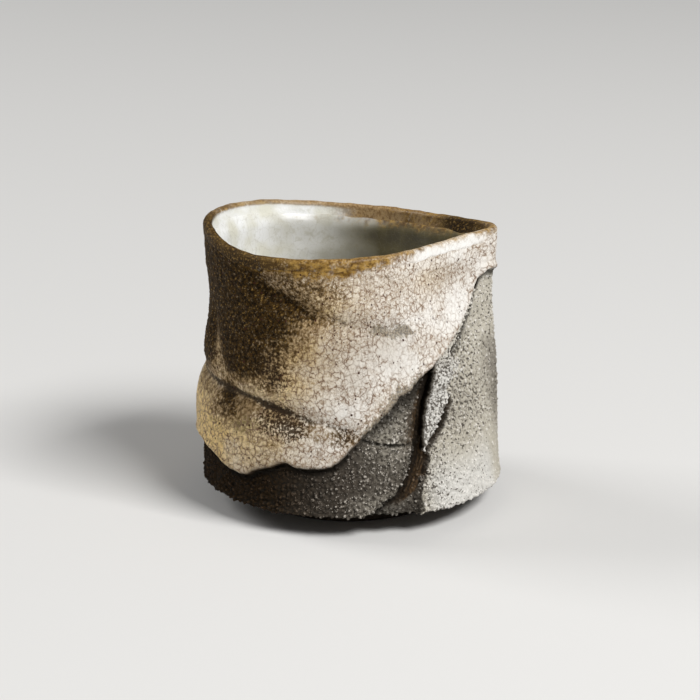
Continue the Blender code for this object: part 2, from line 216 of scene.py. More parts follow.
# Lines of the lap and the glaze on the outside
lap = {
    # edges as (height, angle)
    "flapLeft": (
        (16.8, 300.6), (19.1, 300.6), (21.7, 301.3), (24.7, 303), (26.9, 305.2), (28.6, 307.7),
        (30.7, 310), (32.3, 311.9), (33.8, 314.6), (35.3, 319.6), (38.6, 330.2), (41.6, 338.6),
        (43.2, 341.4), (45.6, 344), (50, 348),
    ),
    "flapRight": (
        (16.8, 300.9), (18.8, 303.5), (21.8, 309), (24.5, 314.2), (26.5, 319.5), (29.5, 329), (33.2, 346),
        (38, 358), (50, 370),
    ),
    "slabEdge": (
        (4.3, 295.7), (5.1, 296.6), (9.5, 298), (11.4, 300), (13.4, 301.2), (15.3, 302.8), (16.8, 303),
        (18.8, 307.2), (21.8, 312.9), (24.5, 317.1), (26, 317.9), (28, 315), (31.6, 316.5), (33.8, 320),
        (37.5, 331), (43, 344.5), (50, 351),
    ),
    "deepLine": (
        (4.3, 277), (5.8, 281.2), (7.1, 284.6), (8.1, 288.6), (9.8, 291.1), (12.2, 293.9), (15.2, 296.9),
        (18.8, 299.4), (23.3, 301.8), (27, 304.7), (31, 309.5),
    ),
    "ridgeRight": (
        (4.3, 286), (7, 291.9), (8.1, 295.3), (11.1, 298.7), (13, 300.9), (16.3, 303.3), (19, 306),
    ),
    "depth": 1.7,
    "bottomDepth": 1.5,
    "closesAt": 33.0,
    "bank": (1.3, 3.4),  # run of the furrow's left bank, at the bottom and higher up
    "flank": (1.7, 0.55),  # the same for the slab's edge, which slopes more at the bottom
    "shoulder": 0.9,
    "shoulderEnd": 395.0,
    "shoulderFade": 35.0,
    # in the bare clay, as (angle, height)
    "crack": ((273, 20.6), (276, 19.9), (284.2, 18.8), (293.4, 18.4), (297, 18.6)),
    "crackSpan": (272, 3, 297, 2),
    "crackWidth": 0.17,
    "crackDepth": 0.45,
}
glaze = {
    # lower edge, as (angle, height); past 309 it runs beside the flap's left edge
    "edge": (
        (8, 46.8), (20, 43.2), (32, 38), (58, 23), (84, 14.5), (112, 12.8), (138, 15.2), (166, 12.4),
        (190, 14.4), (199.7, 14), (207.2, 13.2), (214.3, 11.9), (221, 11), (226.9, 11.1), (232.3, 12.4),
        (237.2, 13.5), (241.9, 14.5), (244.7, 15), (248.3, 14.5), (252.6, 14.3), (256.8, 14.3),
        (262.1, 14.9), (266.2, 16), (268.9, 17.3), (272.3, 19.4), (276.3, 21.1), (279.9, 23),
        (284.3, 25.1), (288.9, 26.8), (296.3, 29.1), (304.5, 31.1), (309, 31.8), (312.5, 33), (316.5, 34),
        (323.1, 35.8), (330.2, 37.8), (336.3, 39.8), (342.1, 42.1), (344.7, 43.9), (346.5, 45.6),
        (349.3, 47.5), (352, 48.6), (356.6, 48.3),
    ),
    "edgeWaves": ((0.1, 31, 1), (0.05, 73, 2), (0.03, 131, 0)),
    "evenAt": (330, 22),  # angle and spread of the even stretch beside the flap
    "raggedAt": (287, 13),  # the same over the recess, where the edge is torn
    "thickness": 1.0,
    "roll": 0.9,
    "top": 54.7,
    "upperCrease": (
        (219, 52.4), (226, 51), (233.5, 49), (241, 47.6), (252.5, 44.8), (268.7, 42.7), (281, 41.4),
        (303, 40.2),
    ),
    "lowerCrease": (
        (130, 32.5), (170, 29), (205, 27.6), (219.7, 27.3), (232, 26.6), (243, 25.6), (253, 24.1),
        (262, 23), (270, 21.9), (278, 20.4),
    ),
    "lowerStrength": (
        (130, .15), (165, .35), (195, .8), (210, 1), (236, 1), (248, .8), (258, .58), (270, .6),
        (278, .6),
    ),
    "creaseFade": 14.0,
    "hollows": (("upperCrease", 1.2, 2.1), ("lowerCrease", 0.95, 2.0)),  # their depth and width in the clay
    "leftHollow": 0.7,
    # lines up the wall, as (height, angle); the stripe is tan
    "leftCrease": ((24, 222), (27.8, 215.3), (30.7, 209.6), (33.9, 202.9), (37.1, 197), (42, 195)),
    "stripe": ((27, 209), (31.1, 205.1), (33.8, 202), (36.8, 201.3), (42, 202)),
}


def lapTurn(angle):  # angles of the lap run on past 360
    return np.where(angle > 180.0, angle, angle + 360.0)


def rightOf(line, turn, z, radius):  # distance on the surface to the right of a (height, angle) line
    arc = np.radians(radius)
    lean = (along(line, z + 0.5) - along(line, z - 0.5)) * arc
    return (turn - along(line, z)) * arc / np.hypot(1.0, lean)


def glazeEdge(angle):
    wobble = ripple(angle, glaze["edgeWaves"]) * (1 - 0.7 * about(angle, *glaze["evenAt"]))
    reach = angle * np.radians(cup["baseRadius"])
    ragged = 0.6 * flatNoise(51, reach / 1.7) + 0.4 * flatNoise(52, reach / 0.6)
    return around(glaze["edge"], angle) + wobble + ragged * about(angle, *glaze["raggedAt"])


def creaseOf(name, angle, z, width):  # 1 in the valley of a crease round the wall
    line, turn, fade = glaze[name], angle % 360.0, glaze["creaseFade"]
    return window(turn, line[0][0], fade, line[-1][0], fade) * bump(z - along(line, turn), width)


def upLine(name, angle, z, radius, width, *reach):  # the same for a line up the wall, between two heights
    return bump(rightOf(glaze[name], angle % 360.0, z, radius), width) * window(z, *reach)


def lapParts(angle, z, radius):  # distances right of the deep line and of the slab's edge
    turn = lapTurn(angle)
    return rightOf(lap["deepLine"], turn, z, radius), rightOf(lap["slabEdge"], turn, z, radius), turn


def shoulderShare(turn):
    return ramp(turn, lap["shoulderEnd"], -lap["shoulderFade"])


def lapRelief(angle, z, radius):
    deep, slab, turn = lapParts(angle, z, radius)
    depth = mix(lap["bottomDepth"], lap["depth"], ramp(z, 5, 8)) * ramp(z, lap["closesAt"], -2.5)
    left = ease(1 + deep / mix(*lap["bank"], ramp(z, 13, 9))) ** 2.2
    across = np.clip(deep / np.maximum(deep - slab, 0.1), 0, 1)
    face = mix(mix(1.0, 0.35, across), 1.0, ramp(z, 15, 3))
    floor = depth * np.where(deep < 0, left, face)
    flank = mix(*lap["flank"], ramp(z, 7, 5))
    return mix(-floor, lap["shoulder"] * shoulderShare(turn), ease(slab / flank + 0.5))


def clayRadius(angle, z):
    radius = formRadius(angle, z) - cup["skin"]
    flare = cup["flare"] * np.exp(-np.maximum(z - cup["baseEdge"], 0.0) / cup["flareRise"])
    hollow = sum(depth * creaseOf(name, angle, z, width) for name, depth, width in glaze["hollows"])
    hollow = hollow + glaze["leftHollow"] * upLine("leftCrease", angle, z, radius, 1.6, 22, 4, 45, 5)
    return radius + flare - hollow + lapRelief(angle, z, radius)


# Meshes from a grid of points; its rows run round to the first one
def gridFaces(rows, columns, closed=True):
    r = np.arange(rows)[:, None, None] + np.array([0, 0, 1, 1])
    c = np.arange(columns if closed else columns - 1)[None, :, None] + np.array([0, 1, 1, 0])
    r, c = np.broadcast_arrays(r, c)
    return r, c, (r % rows * columns + c % columns).reshape(-1, 4).tolist()


def newMesh(name, grid, faces, traits):
    mesh = bpy.data.meshes.new(name)
    mesh.from_pydata(grid.reshape(-1, 3).tolist(), [], faces)
    for label, values in traits.items():
        values = np.broadcast_to(values, grid.shape[:2]).astype(np.float32).ravel()
        mesh.attributes.new(label, "FLOAT", "POINT").data.foreach_set("value", values)
    return mesh


def added(name, data):  # an object in the scene
    thing = bpy.data.objects.new(name, data)
    bpy.context.scene.collection.objects.link(thing)
    return thing


def skinned(mesh, seam=0.0):  # a piece with its faces turned out, and points nearer than the seam joined
    shape = bmesh.new()
    shape.from_mesh(mesh)
    if seam:
        bmesh.ops.remove_doubles(shape, verts=shape.verts, dist=seam)
    bmesh.ops.recalc_face_normals(shape, faces=shape.faces)
    shape.to_mesh(mesh)
    shape.free()
    mesh.shade_smooth()
    return added(mesh.name, mesh)


def ringMesh(name, grid, angles, heights, traits):  # a grid whose columns go round the cup
    rows, columns = grid.shape[:2]
    r, c, faces = gridFaces(rows, columns)
    mesh = newMesh(name, grid, faces, traits)
    turns = np.append(angles, angles[0] + 360.0)
    skin = np.stack([np.radians(turns)[c] * cup["baseRadius"], heights[r % rows, c % columns]], -1)
    sheet = np.stack([c / columns, r / rows], -1)
    for label, values in (("skin", skin), ("OFBake", sheet)):
        mesh.uv_layers.new(name=label).uv.foreach_set("vector", values.astype(np.float32).ravel())
    return skinned(mesh, seam=2e-6)


# Node trees
def feed(tree, socket, value):
    if isinstance(value, Wire):
        tree.links.new(value.socket, socket)
    else:
        socket.default_value = (*value, 1.0) if socket.type == "RGBA" else value


def put(tree, kind, inputs=None, out=0, **settings):
    node = tree.nodes.new(kind)
    for key, value in settings.items():
        setattr(node, key, value)
    for key, value in (inputs or {}).items():
        feed(tree, node.inputs[key], value)
    return Wire(tree, node, out)


class Wire:  # what comes out of a node; sums and products of wires add maths nodes
    def __init__(self, tree, node, out=0):
        self.tree, self.node, self.socket = tree, node, node.outputs[out]

    def also(self, out):  # another output of the same node
        return Wire(self.tree, self.node, out)

    def maths(self, operation, other):
        return put(self.tree, "ShaderNodeMath", {0: self, 1: other}, operation=operation)

    def __add__(self, other):
        return self.maths("ADD", other)

    def __sub__(self, other):
        return self.maths("SUBTRACT", other)

    def __mul__(self, other):
        return self.maths("MULTIPLY", other)

    def __truediv__(self, other):
        return self.maths("DIVIDE", other)

    def __rtruediv__(self, other):
        return put(self.tree, "ShaderNodeMath", {0: other, 1: self}, operation="DIVIDE")

    def span(self, low, high, start=0.0, end=1.0):
        inputs = {"Value": self, "From Min": low, "From Max": high, "To Min": start, "To Max": end}
        return put(self.tree, "ShaderNodeMapRange", inputs, interpolation_type="SMOOTHSTEP")

    def mottled(self, dither, reach, low, high):  # a share that fades through mottling
        return (self + dither.span(0.3, 0.7, -reach, reach)).span(low, high)

    def blend(self, first, second, mode="MIX"):  # between two colours, by this share
        inputs = {0: self, 6: first, 7: second}
        return put(self.tree, "ShaderNodeMix", inputs, 2, data_type="RGBA", blend_type=mode)

    def vectorMaths(self, operation, other):
        return put(self.tree, "ShaderNodeVectorMath", {0: self, 1: other}, operation=operation)

    def scaled(self, factor):
        return put(self.tree, "ShaderNodeVectorMath", {0: self, "Scale": factor}, operation="SCALE")

    def noise(self, size, detail=2.0, roughness=0.5):
        inputs = {"Vector": self, "Scale": 1.0 / size, "Detail": detail, "Roughness": roughness}
        return put(self.tree, "ShaderNodeTexNoise", inputs)

    def cells(self, size, feature):
        inputs = {"Vector": self, "Scale": 1.0 / size}
        settings = {"feature": feature, "voronoi_dimensions": "2D"}
        return put(self.tree, "ShaderNodeTexVoronoi", inputs, "Distance", **settings)


def newTree(name, inputs):
    tree = bpy.data.node_groups.new(name, "GeometryNodeTree")
    inputs = {"Geometry": "Geometry", **inputs, "Material": "Material"}
    for label, kind in inputs.items():
        tree.interface.new_socket(label, in_out="INPUT", socket_type="NodeSocket" + kind)
    tree.interface.new_socket("Geometry", in_out="OUTPUT", socket_type="NodeSocketGeometry")
    given = tree.nodes.new("NodeGroupInput")
    return tree, {label: Wire(tree, given, label) for label in inputs}


def endTree(tree, shape, material):
    real = put(tree, "GeometryNodeRealizeInstances", {0: shape})
    done = put(tree, "GeometryNodeSetMaterial", {0: real, "Material": material})
    feed(tree, tree.nodes.new("NodeGroupOutput").inputs[0], done)
    return tree


def namedValue(tree, name):
    return put(tree, "GeometryNodeInputNamedAttribute", {"Name": name}, data_type="FLOAT")


def keepGrain(tree, shape, tone, domain):
    inputs = {0: shape, "Name": "grain", "Value": tone}
    return put(tree, "GeometryNodeStoreNamedAttribute", inputs, data_type="FLOAT", domain=domain)


def worked(piece, tree, settings):  # runs a tree on a piece and keeps the result as its mesh
    modifier = piece.modifiers.new(tree.name, "NODES")
    modifier.node_group = tree
    for item in tree.interface.items_tree:
        if item.in_out == "INPUT" and item.name in settings:
            modifier[item.identifier] = settings[item.name]
    graph = bpy.context.evaluated_depsgraph_get()
    shown = piece.evaluated_get(graph)
    mesh = bpy.data.meshes.new_from_object(shown, preserve_all_data_layers=True, depsgraph=graph)
    piece.modifiers.remove(modifier)
    old, piece.data = piece.data, mesh
    bpy.data.meshes.remove(old)
    mesh.name = piece.name
    return piece


def grittyTree():  # rounded grains pushed out of a face where its grit value asks for them
    names = ("Grain Size", "Grain Height", "Fine Size", "Fine Height")
    tree, given = newTree("grittyClay", dict.fromkeys(names, "Float"))
    spot = put(tree, "GeometryNodeInputPosition").scaled(1 / mm)
    cell = {"Vector": spot.scaled(1.0 / given["Grain Size"]), "Scale": 1.0}
    stone = put(tree, "ShaderNodeTexVoronoi", cell, "Distance")
    tall = put(tree, "ShaderNodeSeparateXYZ", {0: stone.also("Color")})
    dome = stone.span(0.1, 0.72, 1.0, 0.0) * tall.span(0.0, 1.0, 0.35, 1.0)
    rough = spot.scaled(1.0 / given["Fine Size"]).noise(1.0)
    rise = (dome - 0.4) * given["Grain Height"] + (rough - 0.5) * given["Fine Height"]
    push = put(tree, "GeometryNodeInputNormal").scaled(rise * (namedValue(tree, "grit") * mm))
    kept = keepGrain(tree, given["Geometry"], dome * 0.7 + rough * 0.3, "POINT")
    moved = put(tree, "GeometryNodeSetPosition", {0: kept, "Offset": push})
    return endTree(tree, moved, given["Material"])


def sandTree():  # loose angular grains standing half out of the clay
    sizes = dict.fromkeys(("Grains per mm2", "Smallest", "Largest"), "Float")
    tree, given = newTree("sandGrains", {**sizes, "Seed": "Int"})

    def drawn(low, high):  # a random number or vector for each grain
        flat = not isinstance(low, tuple)
        kind, first = ("FLOAT", 2) if flat else ("FLOAT_VECTOR", 0)
        inputs = {first: low, first + 1: high, "Seed": given["Seed"]}
        return put(tree, "FunctionNodeRandomValue", inputs, int(flat), data_type=kind)

    density = given["Grains per mm2"] * namedValue(tree, "sand") * (1 / mm**2)
    inputs = {0: given["Geometry"], "Density": density, "Seed": given["Seed"]}
    spread = put(tree, "GeometryNodeDistributePointsOnFaces", inputs)
    grain = put(tree, "GeometryNodeMeshUVSphere", {"Segments": 4, "Rings": 2, "Radius": 1.0})
    size = drawn(given["Smallest"], given["Largest"]) * namedValue(tree, "coarse") * mm
    squat = drawn((0.7, 0.7, 0.5), (1.2, 1.2, 0.9)).scaled(size)
    lean = drawn((0, 0, 0), (6.283, 6.283, 6.283))  # up to a full turn, in radians
    inputs = {0: spread, "Instance": grain, "Rotation": lean, "Scale": squat}
    stones = put(tree, "GeometryNodeInstanceOnPoints", inputs)
    return endTree(tree, keepGrain(tree, stones, drawn(0.3, 0.85), "INSTANCE"), given["Material"])


# Finishes
def newFinish(name):
    material = bpy.data.materials.new(name)
    material.use_nodes = True
    return material, material.node_tree


def onPiece(tree):  # object coordinates in millimetres
    return put(tree, "ShaderNodeTexCoord", out="Object").scaled(1 / mm)


def onSkin(tree):  # millimetres round and up the wall
    return put(tree, "ShaderNodeUVMap", out="UV", uv_map="skin")


def carried(tree, names):  # values that the mesh carries
    return [put(tree, "ShaderNodeAttribute", out="Fac", attribute_name=name) for name in names.split()]


def dress(material, colour, roughness, specular, relief, depth, strength):
    tree = material.node_tree
    feel = put(tree, "ShaderNodeBump", {"Height": relief, "Strength": strength, "Distance": depth * mm})
    parts = {"Base Color": colour, "Roughness": roughness, "Specular IOR Level": specular, "Normal": feel}
    for name, value in parts.items():
        feed(tree, tree.nodes["Principled BSDF"].inputs[name], value)
    return material


clayTones = {
    "char": ((0.014, 0.0075, 0.002), (0.033, 0.019, 0.008)),
    "middle": ((0.045, 0.036, 0.027), (0.088, 0.073, 0.057)),
    "light": ((0.42, 0.385, 0.31), (0.53, 0.495, 0.425)),
    "palest": (0.74, 0.735, 0.72),
    # raised grains and hollows: partly the clay's own sand and pores, partly painted light and shade
    "grains": ((0.08, 0.05, 0.028), (0.56, 0.51, 0.445)),
    "paleGrains": (0.8, 0.77, 0.72),
    "holes": ((0.008, 0.006, 0.004), (0.1, 0.085, 0.068)),
    "streaks": ((0.012, 0.007, 0.003), (0.095, 0.056, 0.026)),
    "streakHoles": (0.012, 0.007, 0.004),
    "streakGrains": (0.3, 0.22, 0.14),
    # dark of the painted shade, and of the iron halo under the glaze's edge
    "soot": (0.008, 0.006, 0.004),
}


def clayFinish():
    material, tree = newFinish("gritty_stoneware")
    tones, spot = clayTones, onPiece(tree)
    grain, pale, rust, soot, across, pits = carried(tree, "grain pale rust soot across pits")
    cloud, fine, pit = spot.noise(5.0, 3.0), spot.noise(0.42, 2.0, 0.65), spot.noise(0.58, 1.0, 0.6)
    body = pale.span(0.02, 0.38).blend(cloud.blend(*tones["char"]), cloud.blend(*tones["middle"]))
    body = pale.span(0.38, 0.74).blend(body, cloud.blend(*tones["light"]))
    body = pale.span(0.74, 1.0).blend(body, tones["palest"])
    # Raised grains lighter and the pits and hollows between them darker: partly the clay's pale sand and
    # its pores, partly painted light on the grains' tops and painted shade between them.
    top = pale.span(0.1, 0.46).blend(*tones["grains"])
    top = pale.span(0.4, 0.8).blend(top, tones["paleGrains"])
    body = (grain.span(0.4, 0.74) * fine.span(0.38, 0.54) * 0.9).blend(body, top)
    hole = (pit - pits * 0.2).span(0.31, 0.23).maths("MAXIMUM", grain.span(0.24, 0.08) * pits)
    body = (hole * 0.92).blend(body, pale.blend(*tones["holes"]))
    height = put(tree, "ShaderNodeSeparateXYZ", {0: spot}, 2)
    lines = put(tree, "ShaderNodeCombineXYZ", {0: across, 1: height * 0.09})
    brown = lines.noise(0.36, 3.0, 0.7).span(0.34, 0.66).blend(*tones["streaks"])
    brown = (fine.span(0.54, 0.38) * 0.75).blend(brown, tones["streakHoles"])
    brown = (grain.span(0.45, 0.8) * 0.3).blend(brown, tones["streakGrains"])
    # painted shade and iron halo go over everything else
    body = soot.blend(rust.blend(body, brown), tones["soot"])
    return dress(material, body, 0.8, 0.08, pit + fine * 0.5, 0.16, 0.75)


glazeTones = {
    "cream": ((0.57, 0.495, 0.395), (0.73, 0.67, 0.58)),
    # also painted highlight under the lip at the right and at the corner
    "white": (0.85, 0.825, 0.78),
    "stain": (0.34, 0.245, 0.16),
    "palePebbles": (0.9, 0.87, 0.81),
    "darkPebbles": (0.24, 0.16, 0.1),
    "honey": ((0.9, 0.66, 0.28), (0.64, 0.44, 0.16)),
    # also laid as painted shade below the lower crease
    "moss": ((0.045, 0.034, 0.01), (0.25, 0.2, 0.075)),
    "crazeHalo": (0.38, 0.27, 0.18),
    "craze": (0.15, 0.085, 0.05),
    "fineCraze": (0.2, 0.125, 0.075),
    # multiplied in as painted shade
    "dull": (0.5, 0.45, 0.38),
    # also laid as painted shade in the creases
    "grey": ((0.05, 0.038, 0.023), (0.33, 0.28, 0.2)),
    # browns of the shaded umber: brown glaze and painted shade
    "shadedUmberWash": ((0.34, 0.23, 0.115), (0.13, 0.078, 0.03)),
    "earthAndShade": ((0.009, 0.0045, 0.0008), (0.052, 0.027, 0.005)),
    "earthGrains": (0.27, 0.165, 0.05),
    # also painted shade in the lower crease
    "fold": ((0.01, 0.006, 0.003), (0.085, 0.056, 0.028)),
    "pepper": (0.03, 0.017, 0.009),
    "amber": ((0.125, 0.062, 0.01), (0.37, 0.22, 0.053)),
    "amberDabs": (0.055, 0.025, 0.008),
    "amberGleam": (0.56, 0.41, 0.18),
    "iron": (0.05, 0.017, 0.01),
    # iron halo and painted shade under the rolled edge
    "rim": (0.022, 0.013, 0.007),
}
crazeSizes = (1.4, 0.68)


def crazing(skin, size):  # distance to the nearest line of a bent craze network, in cells
    drift = skin.noise(size / 1.3).also("Color").vectorMaths("SUBTRACT", (0.5, 0.5, 0.5))
    return skin.vectorMaths("ADD", drift.scaled(1.1 * size)).cells(size, "DISTANCE_TO_EDGE")


def specks(skin, size, least, most, share):  # scattered dots, 1 on a dot
    dots = skin.cells(size, "F1")
    chosen = put(skin.tree, "ShaderNodeSeparateColor", {0: dots.also("Color")})
    radius = chosen.also(1).span(0.0, 1.0, least, most)
    return (dots / radius).span(0.7, 1.0, 1.0, 0.0) * chosen.maths("LESS_THAN", share)


def amberTone(skin):  # mottled amber where the glaze runs thin over the lip
    drawn = put(skin.tree, "ShaderNodeMapping", {"Vector": skin, "Scale": (0.6, 1.0, 1.0)})
    dabs = drawn.noise(0.6, 2.0, 0.65)
    amber = drawn.noise(1.3, 3.0, 0.6).span(0.38, 0.62).blend(*glazeTones["amber"])
    amber = (dabs.span(0.55, 0.66) * 0.8).blend(amber, glazeTones["amberDabs"])
    return (dabs.span(0.42, 0.32) * 0.35).blend(amber, glazeTones["amberGleam"])


def creamTone(cloud, white, mottle, pebble):  # with brown stains and light and dark pebbling
    body = white.blend(cloud.span(0.3, 0.7).blend(*glazeTones["cream"]), glazeTones["white"])
    clear = white.span(0.3, 1.0, 1.0, 0.25)
    body = (mottle.span(0.47, 0.66) * clear * 0.8).blend(body, glazeTones["stain"])
    body = (pebble.span(0.46, 0.36) * 0.6).blend(body, glazeTones["palePebbles"])
    return (pebble.span(0.54, 0.64) * clear * 0.62).blend(body, glazeTones["darkPebbles"])


def crazed(skin, body, wide, bold):  # two sizes of craze lines, strong in places
    narrow = crazing(skin, crazeSizes[1])
    strong = skin.noise(1.9).span(0.36, 0.62, 0.18, 0.9) * bold
    weak = skin.noise(2.7).span(0.42, 0.64, 0.05, 0.6) * bold
    body = (wide.span(0.0, 0.3, 1.0, 0.0) * strong * 0.5).blend(body, glazeTones["crazeHalo"])
    body = (wide.span(0.01, 0.095, 1.0, 0.0) * strong).blend(body, glazeTones["craze"])
    return (narrow.span(0.02, 0.17, 1.0, 0.0) * weak).blend(body, glazeTones["fineCraze"])


def earthTone(grain):  # dark umber with lighter grains, where the glaze runs thin and where shade is painted
    earthAndShade = grain.span(0.38, 0.5).blend(*glazeTones["earthAndShade"])
    return grain.span(0.52, 0.64).blend(earthAndShade, glazeTones["earthGrains"])


def glazeFinish():
    material, tree = newFinish("white_crackle_glaze")
    tones, skin = glazeTones, onSkin(tree)
    umber, tan, olive, grey, white, rim = carried(tree, "umber tan olive grey white rim")
    amber, dull, grain, pepper, fold = carried(tree, "amber dull grain pepper fold")
    mottle, pebble = skin.noise(0.95, 3.0, 0.65), skin.noise(0.5, 2.0, 0.7)
    blotch, wide = skin.noise(2.2, 3.0, 0.6), crazing(skin, crazeSizes[0])
    specky = mottle.span(0.25, 0.75, -0.2, 0.2) + pebble.span(0.3, 0.7, -0.2, 0.2)
    body = creamTone(skin.noise(4.0, 3.0), white, mottle, pebble)
    body = (tan * 0.92).blend(body, mottle.span(0.35, 0.65).blend(*tones["honey"]))
    mossy = (olive + specky * olive.span(0.0, 0.3) * 1.3).span(0.12, 0.85)
    body = (mossy * 0.92).blend(body, pebble.span(0.36, 0.62).blend(*tones["moss"]))
    body = crazed(skin, body, wide, tan.span(0.0, 1.0, 1.0, 1.35) * white.span(0.65, 1.0, 1.0, 0.4))
    body = dull.blend(body, tones["dull"], "MULTIPLY")
    grainy = (grey + (mottle - 0.5) * 1.6).span(0.36, 0.64)
    body = (grainy * 0.72).blend(body, pebble.span(0.4, 0.6).blend(*tones["grey"]))
    # shaded umber: brown glaze and painted shade
    stained = umber + specky * umber.span(0.0, 0.4)
    body = (stained.span(0.04, 0.6) * 0.9).blend(body, mottle.span(0.38, 0.62).blend(*tones["shadedUmberWash"]))
    body = stained.span(0.44, 0.95).blend(body, earthTone(pebble * 0.7 + grain * 0.3))
    folded = (fold + specky * fold.span(0.0, 0.3)).span(0.15, 0.9)
    body = (folded * 0.95).blend(body, pebble.span(0.4, 0.62).blend(*tones["fold"]))
    sprinkled = (pebble + pepper * 0.24).span(0.56, 0.63) * pepper.span(0.05, 0.3) * 0.9
    body = sprinkled.blend(body, tones["pepper"])
    body = amber.mottled(blotch, 0.28, 0.25, 1.0).blend(body, amberTone(skin))
    small = specks(skin, 0.7, 0.1, 0.34, 0.45) * skin.noise(5.0).span(0.55, 0.66)
    body = specks(skin, 1.7, 0.05, 0.17, 0.15).maths("MAXIMUM", small).blend(body, tones["iron"])
    body = rim.blend(body, tones["rim"])
    gloss = mottle.span(0.2, 0.8, 0.36, 0.58) + umber * 0.3
    return dress(material, body, gloss, 0.09, pebble + wide.span(0.0, 0.1) * 0.3, 0.12, 0.7)


liningTones = {
    "pale": ((0.78, 0.765, 0.66), (0.95, 0.955, 0.94)),
    "mottle": (0.57, 0.55, 0.42),
    # olive-brown of pooled glaze and of painted shade
    "pool": ((0.058, 0.04, 0.005), (0.12, 0.093, 0.018)),
    "craze": (0.3, 0.26, 0.18),
}
lipTones = {
    # also a painted highlight on the rounded lip
    "white": (0.87, 0.86, 0.83),
    "fade": ((0.38, 0.26, 0.13), (0.2, 0.12, 0.05)),
    "gold": ((0.46, 0.28, 0.1), (0.18, 0.085, 0.018)),
    "paleGold": ((0.74, 0.6, 0.42), (0.42, 0.29, 0.16)),
}


def liningTone(cloud, mottle):
    body = cloud.span(0.35, 0.65).blend(*liningTones["pale"])
    return (mottle.span(0.5, 0.7) * 0.35).blend(body, liningTones["mottle"])


def lipFinish():
    material, tree = newFinish("amber_lip_glaze")
    tones, skin, spot = lipTones, onSkin(tree), onPiece(tree)
    crest, dark, fade, amber, white, clean = carried(tree, "crest dark fade amber white clean")
    mottle, dabs = skin.noise(1.0, 3.0, 0.65), skin.noise(0.55, 2.0, 0.65)
    blotch, wide = skin.noise(2.2, 3.0, 0.6), crazing(skin, crazeSizes[0])
    cream = creamTone(mottle, white, mottle, dabs)
    cream = crazed(skin, cream, wide, white.span(0.5, 1.0, 1.0, 0.25))
    # brightest white where a highlight is painted on the lip
    cream = white.span(0.75, 1.0, 0.0, 0.55).blend(cream, tones["white"])
    body = amber.mottled(blotch, 0.28, 0.25, 1.0).blend(cream, amberTone(skin))
    faded = mottle.span(0.4, 0.62).blend(*tones["fade"])
    body = fade.mottled(mottle, 0.3, 0.2, 0.9).blend(body, faded)
    # dark side and inner corner: brown glaze and painted shade
    body = dark.mottled(dabs, 0.25, 0.2, 0.8).blend(body, earthTone(dabs * 0.95))
    sides = dabs.span(0.4, 0.6)
    gold = white.blend(sides.blend(*tones["gold"]), sides.blend(*tones["paleGold"]))
    gold = dark.blend(gold, amberTone(skin))
    body = (crest * 0.75).blend(body, gold)
    body = clean.blend(body, liningTone(spot.noise(6.0, 3.0), spot.noise(1.5, 3.0)))
    gloss = mottle.span(0.2, 0.8, 0.2, 0.45) + dark * 0.4
    return dress(material, body, gloss, 0.18, dabs, 0.1, 0.6)


def liningFinish():
    material, tree = newFinish("pale_lining_glaze")
    tones, skin, spot = liningTones, onSkin(tree), onPiece(tree)
    pool, amber = carried(tree, "pool amber")
    cloud, mottle = spot.noise(6.0, 3.0), spot.noise(1.5, 3.0)
    body = pool.blend(liningTone(cloud, mottle), cloud.span(0.3, 0.7).blend(*tones["pool"]))
    lines = crazing(skin, 1.9).span(0.01, 0.06, 1.0, 0.0) * 0.18
    body = lines.blend(body, tones["craze"])
    body = amber.mottled(mottle, 0.2, 0.1, 0.95).blend(body, amberTone(skin))
    gloss = amber.span(0.0, 0.5, 0.19, 0.7)  # dull where it runs thin
    return dress(material, body, gloss, 0.4, cloud, 0.3, 0.25)


clayLook, glazeLook, lipLook, liningLook = clayFinish(), glazeFinish(), lipFinish(), liningFinish()
gritty, sandy = grittyTree(), sandTree()
gritInputs = {
    "Grain Size": 0.8,
    "Grain Height": 0.72,
    "Fine Size": 0.32,
    "Fine Height": 0.28,
    "Material": clayLook,
}
pebbleInputs = {
    "Grain Size": 0.66,
    "Grain Height": 0.3,
    "Fine Size": 0.4,
    "Fine Height": 0.2,
    "Material": glazeLook,
}
print("finishes ready")

# Clay wall
wall = {
    "columns": 600,
    "crowding": (288, 52, 2.6),  # angle, spread and strength
    "bareRows": 142,  # rows between the base edge and the foot of the glaze
    "coveredRows": 9,
    "underRows": 5,
    "insideRows": 5,
    "edgeRound": 0.9,
    "reachUnderGlaze": 1.2,
    "sunkUnderGlaze": 1.5,
    "top": 50.5,
    "streak": 0.22,  # relief of the scraped marks
    # stretches by angle: start, softness, end, softness
    "frayed": (182, 8, 538, 8),
    "wideShade": (276, 14, 345, 30),  # under the glaze's edge
    "coarse": (266, 14, 352, 40),
    "sparse": (266, 14, 440, 40),
}


def clayFace():  # the bare outside, and the distances that its marks and tones go by
    angles = columnsAround(wall["columns"], *wall["crowding"])
    edge, bottom = glazeEdge(angles), cup["baseEdge"]
    foot = edge + wall["reachUnderGlaze"]
    top = np.maximum(wall["top"], foot + 0.5)
    bare = mix(bottom, foot, steps(wall["bareRows"]) ** 1.15)
    z = joined([bare, mix(foot, top, steps(wall["coveredRows"] + 1, 1))])
    radius = clayRadius(angles, z)
    below = edge - z
    deep, slab, turn = lapParts(angles, z, radius)
    sunk = radius - wall["sunkUnderGlaze"] * ease((-below - 0.4) / 0.8)
    radius = np.maximum(sunk, np.minimum(radius, innerRadius(angles, z) + 0.5))
    crack = bump(z - along(lap["crack"], angles % 360), lap["crackWidth"]) * window(turn, *lap["crackSpan"])
    sink = np.clip(1 - (z - bottom) / wall["edgeRound"], 0, 1)
    radius = radius - lap["crackDepth"] * crack - wall["edgeRound"] * (1 - np.sqrt(1 - sink**2))
    return SimpleNamespace(angles=angles, top=top, z=z, radius=radius, below=below, deep=deep, slab=slab,
                           turn=turn, crack=crack, bare=ease(below / 0.5 + 0.3))


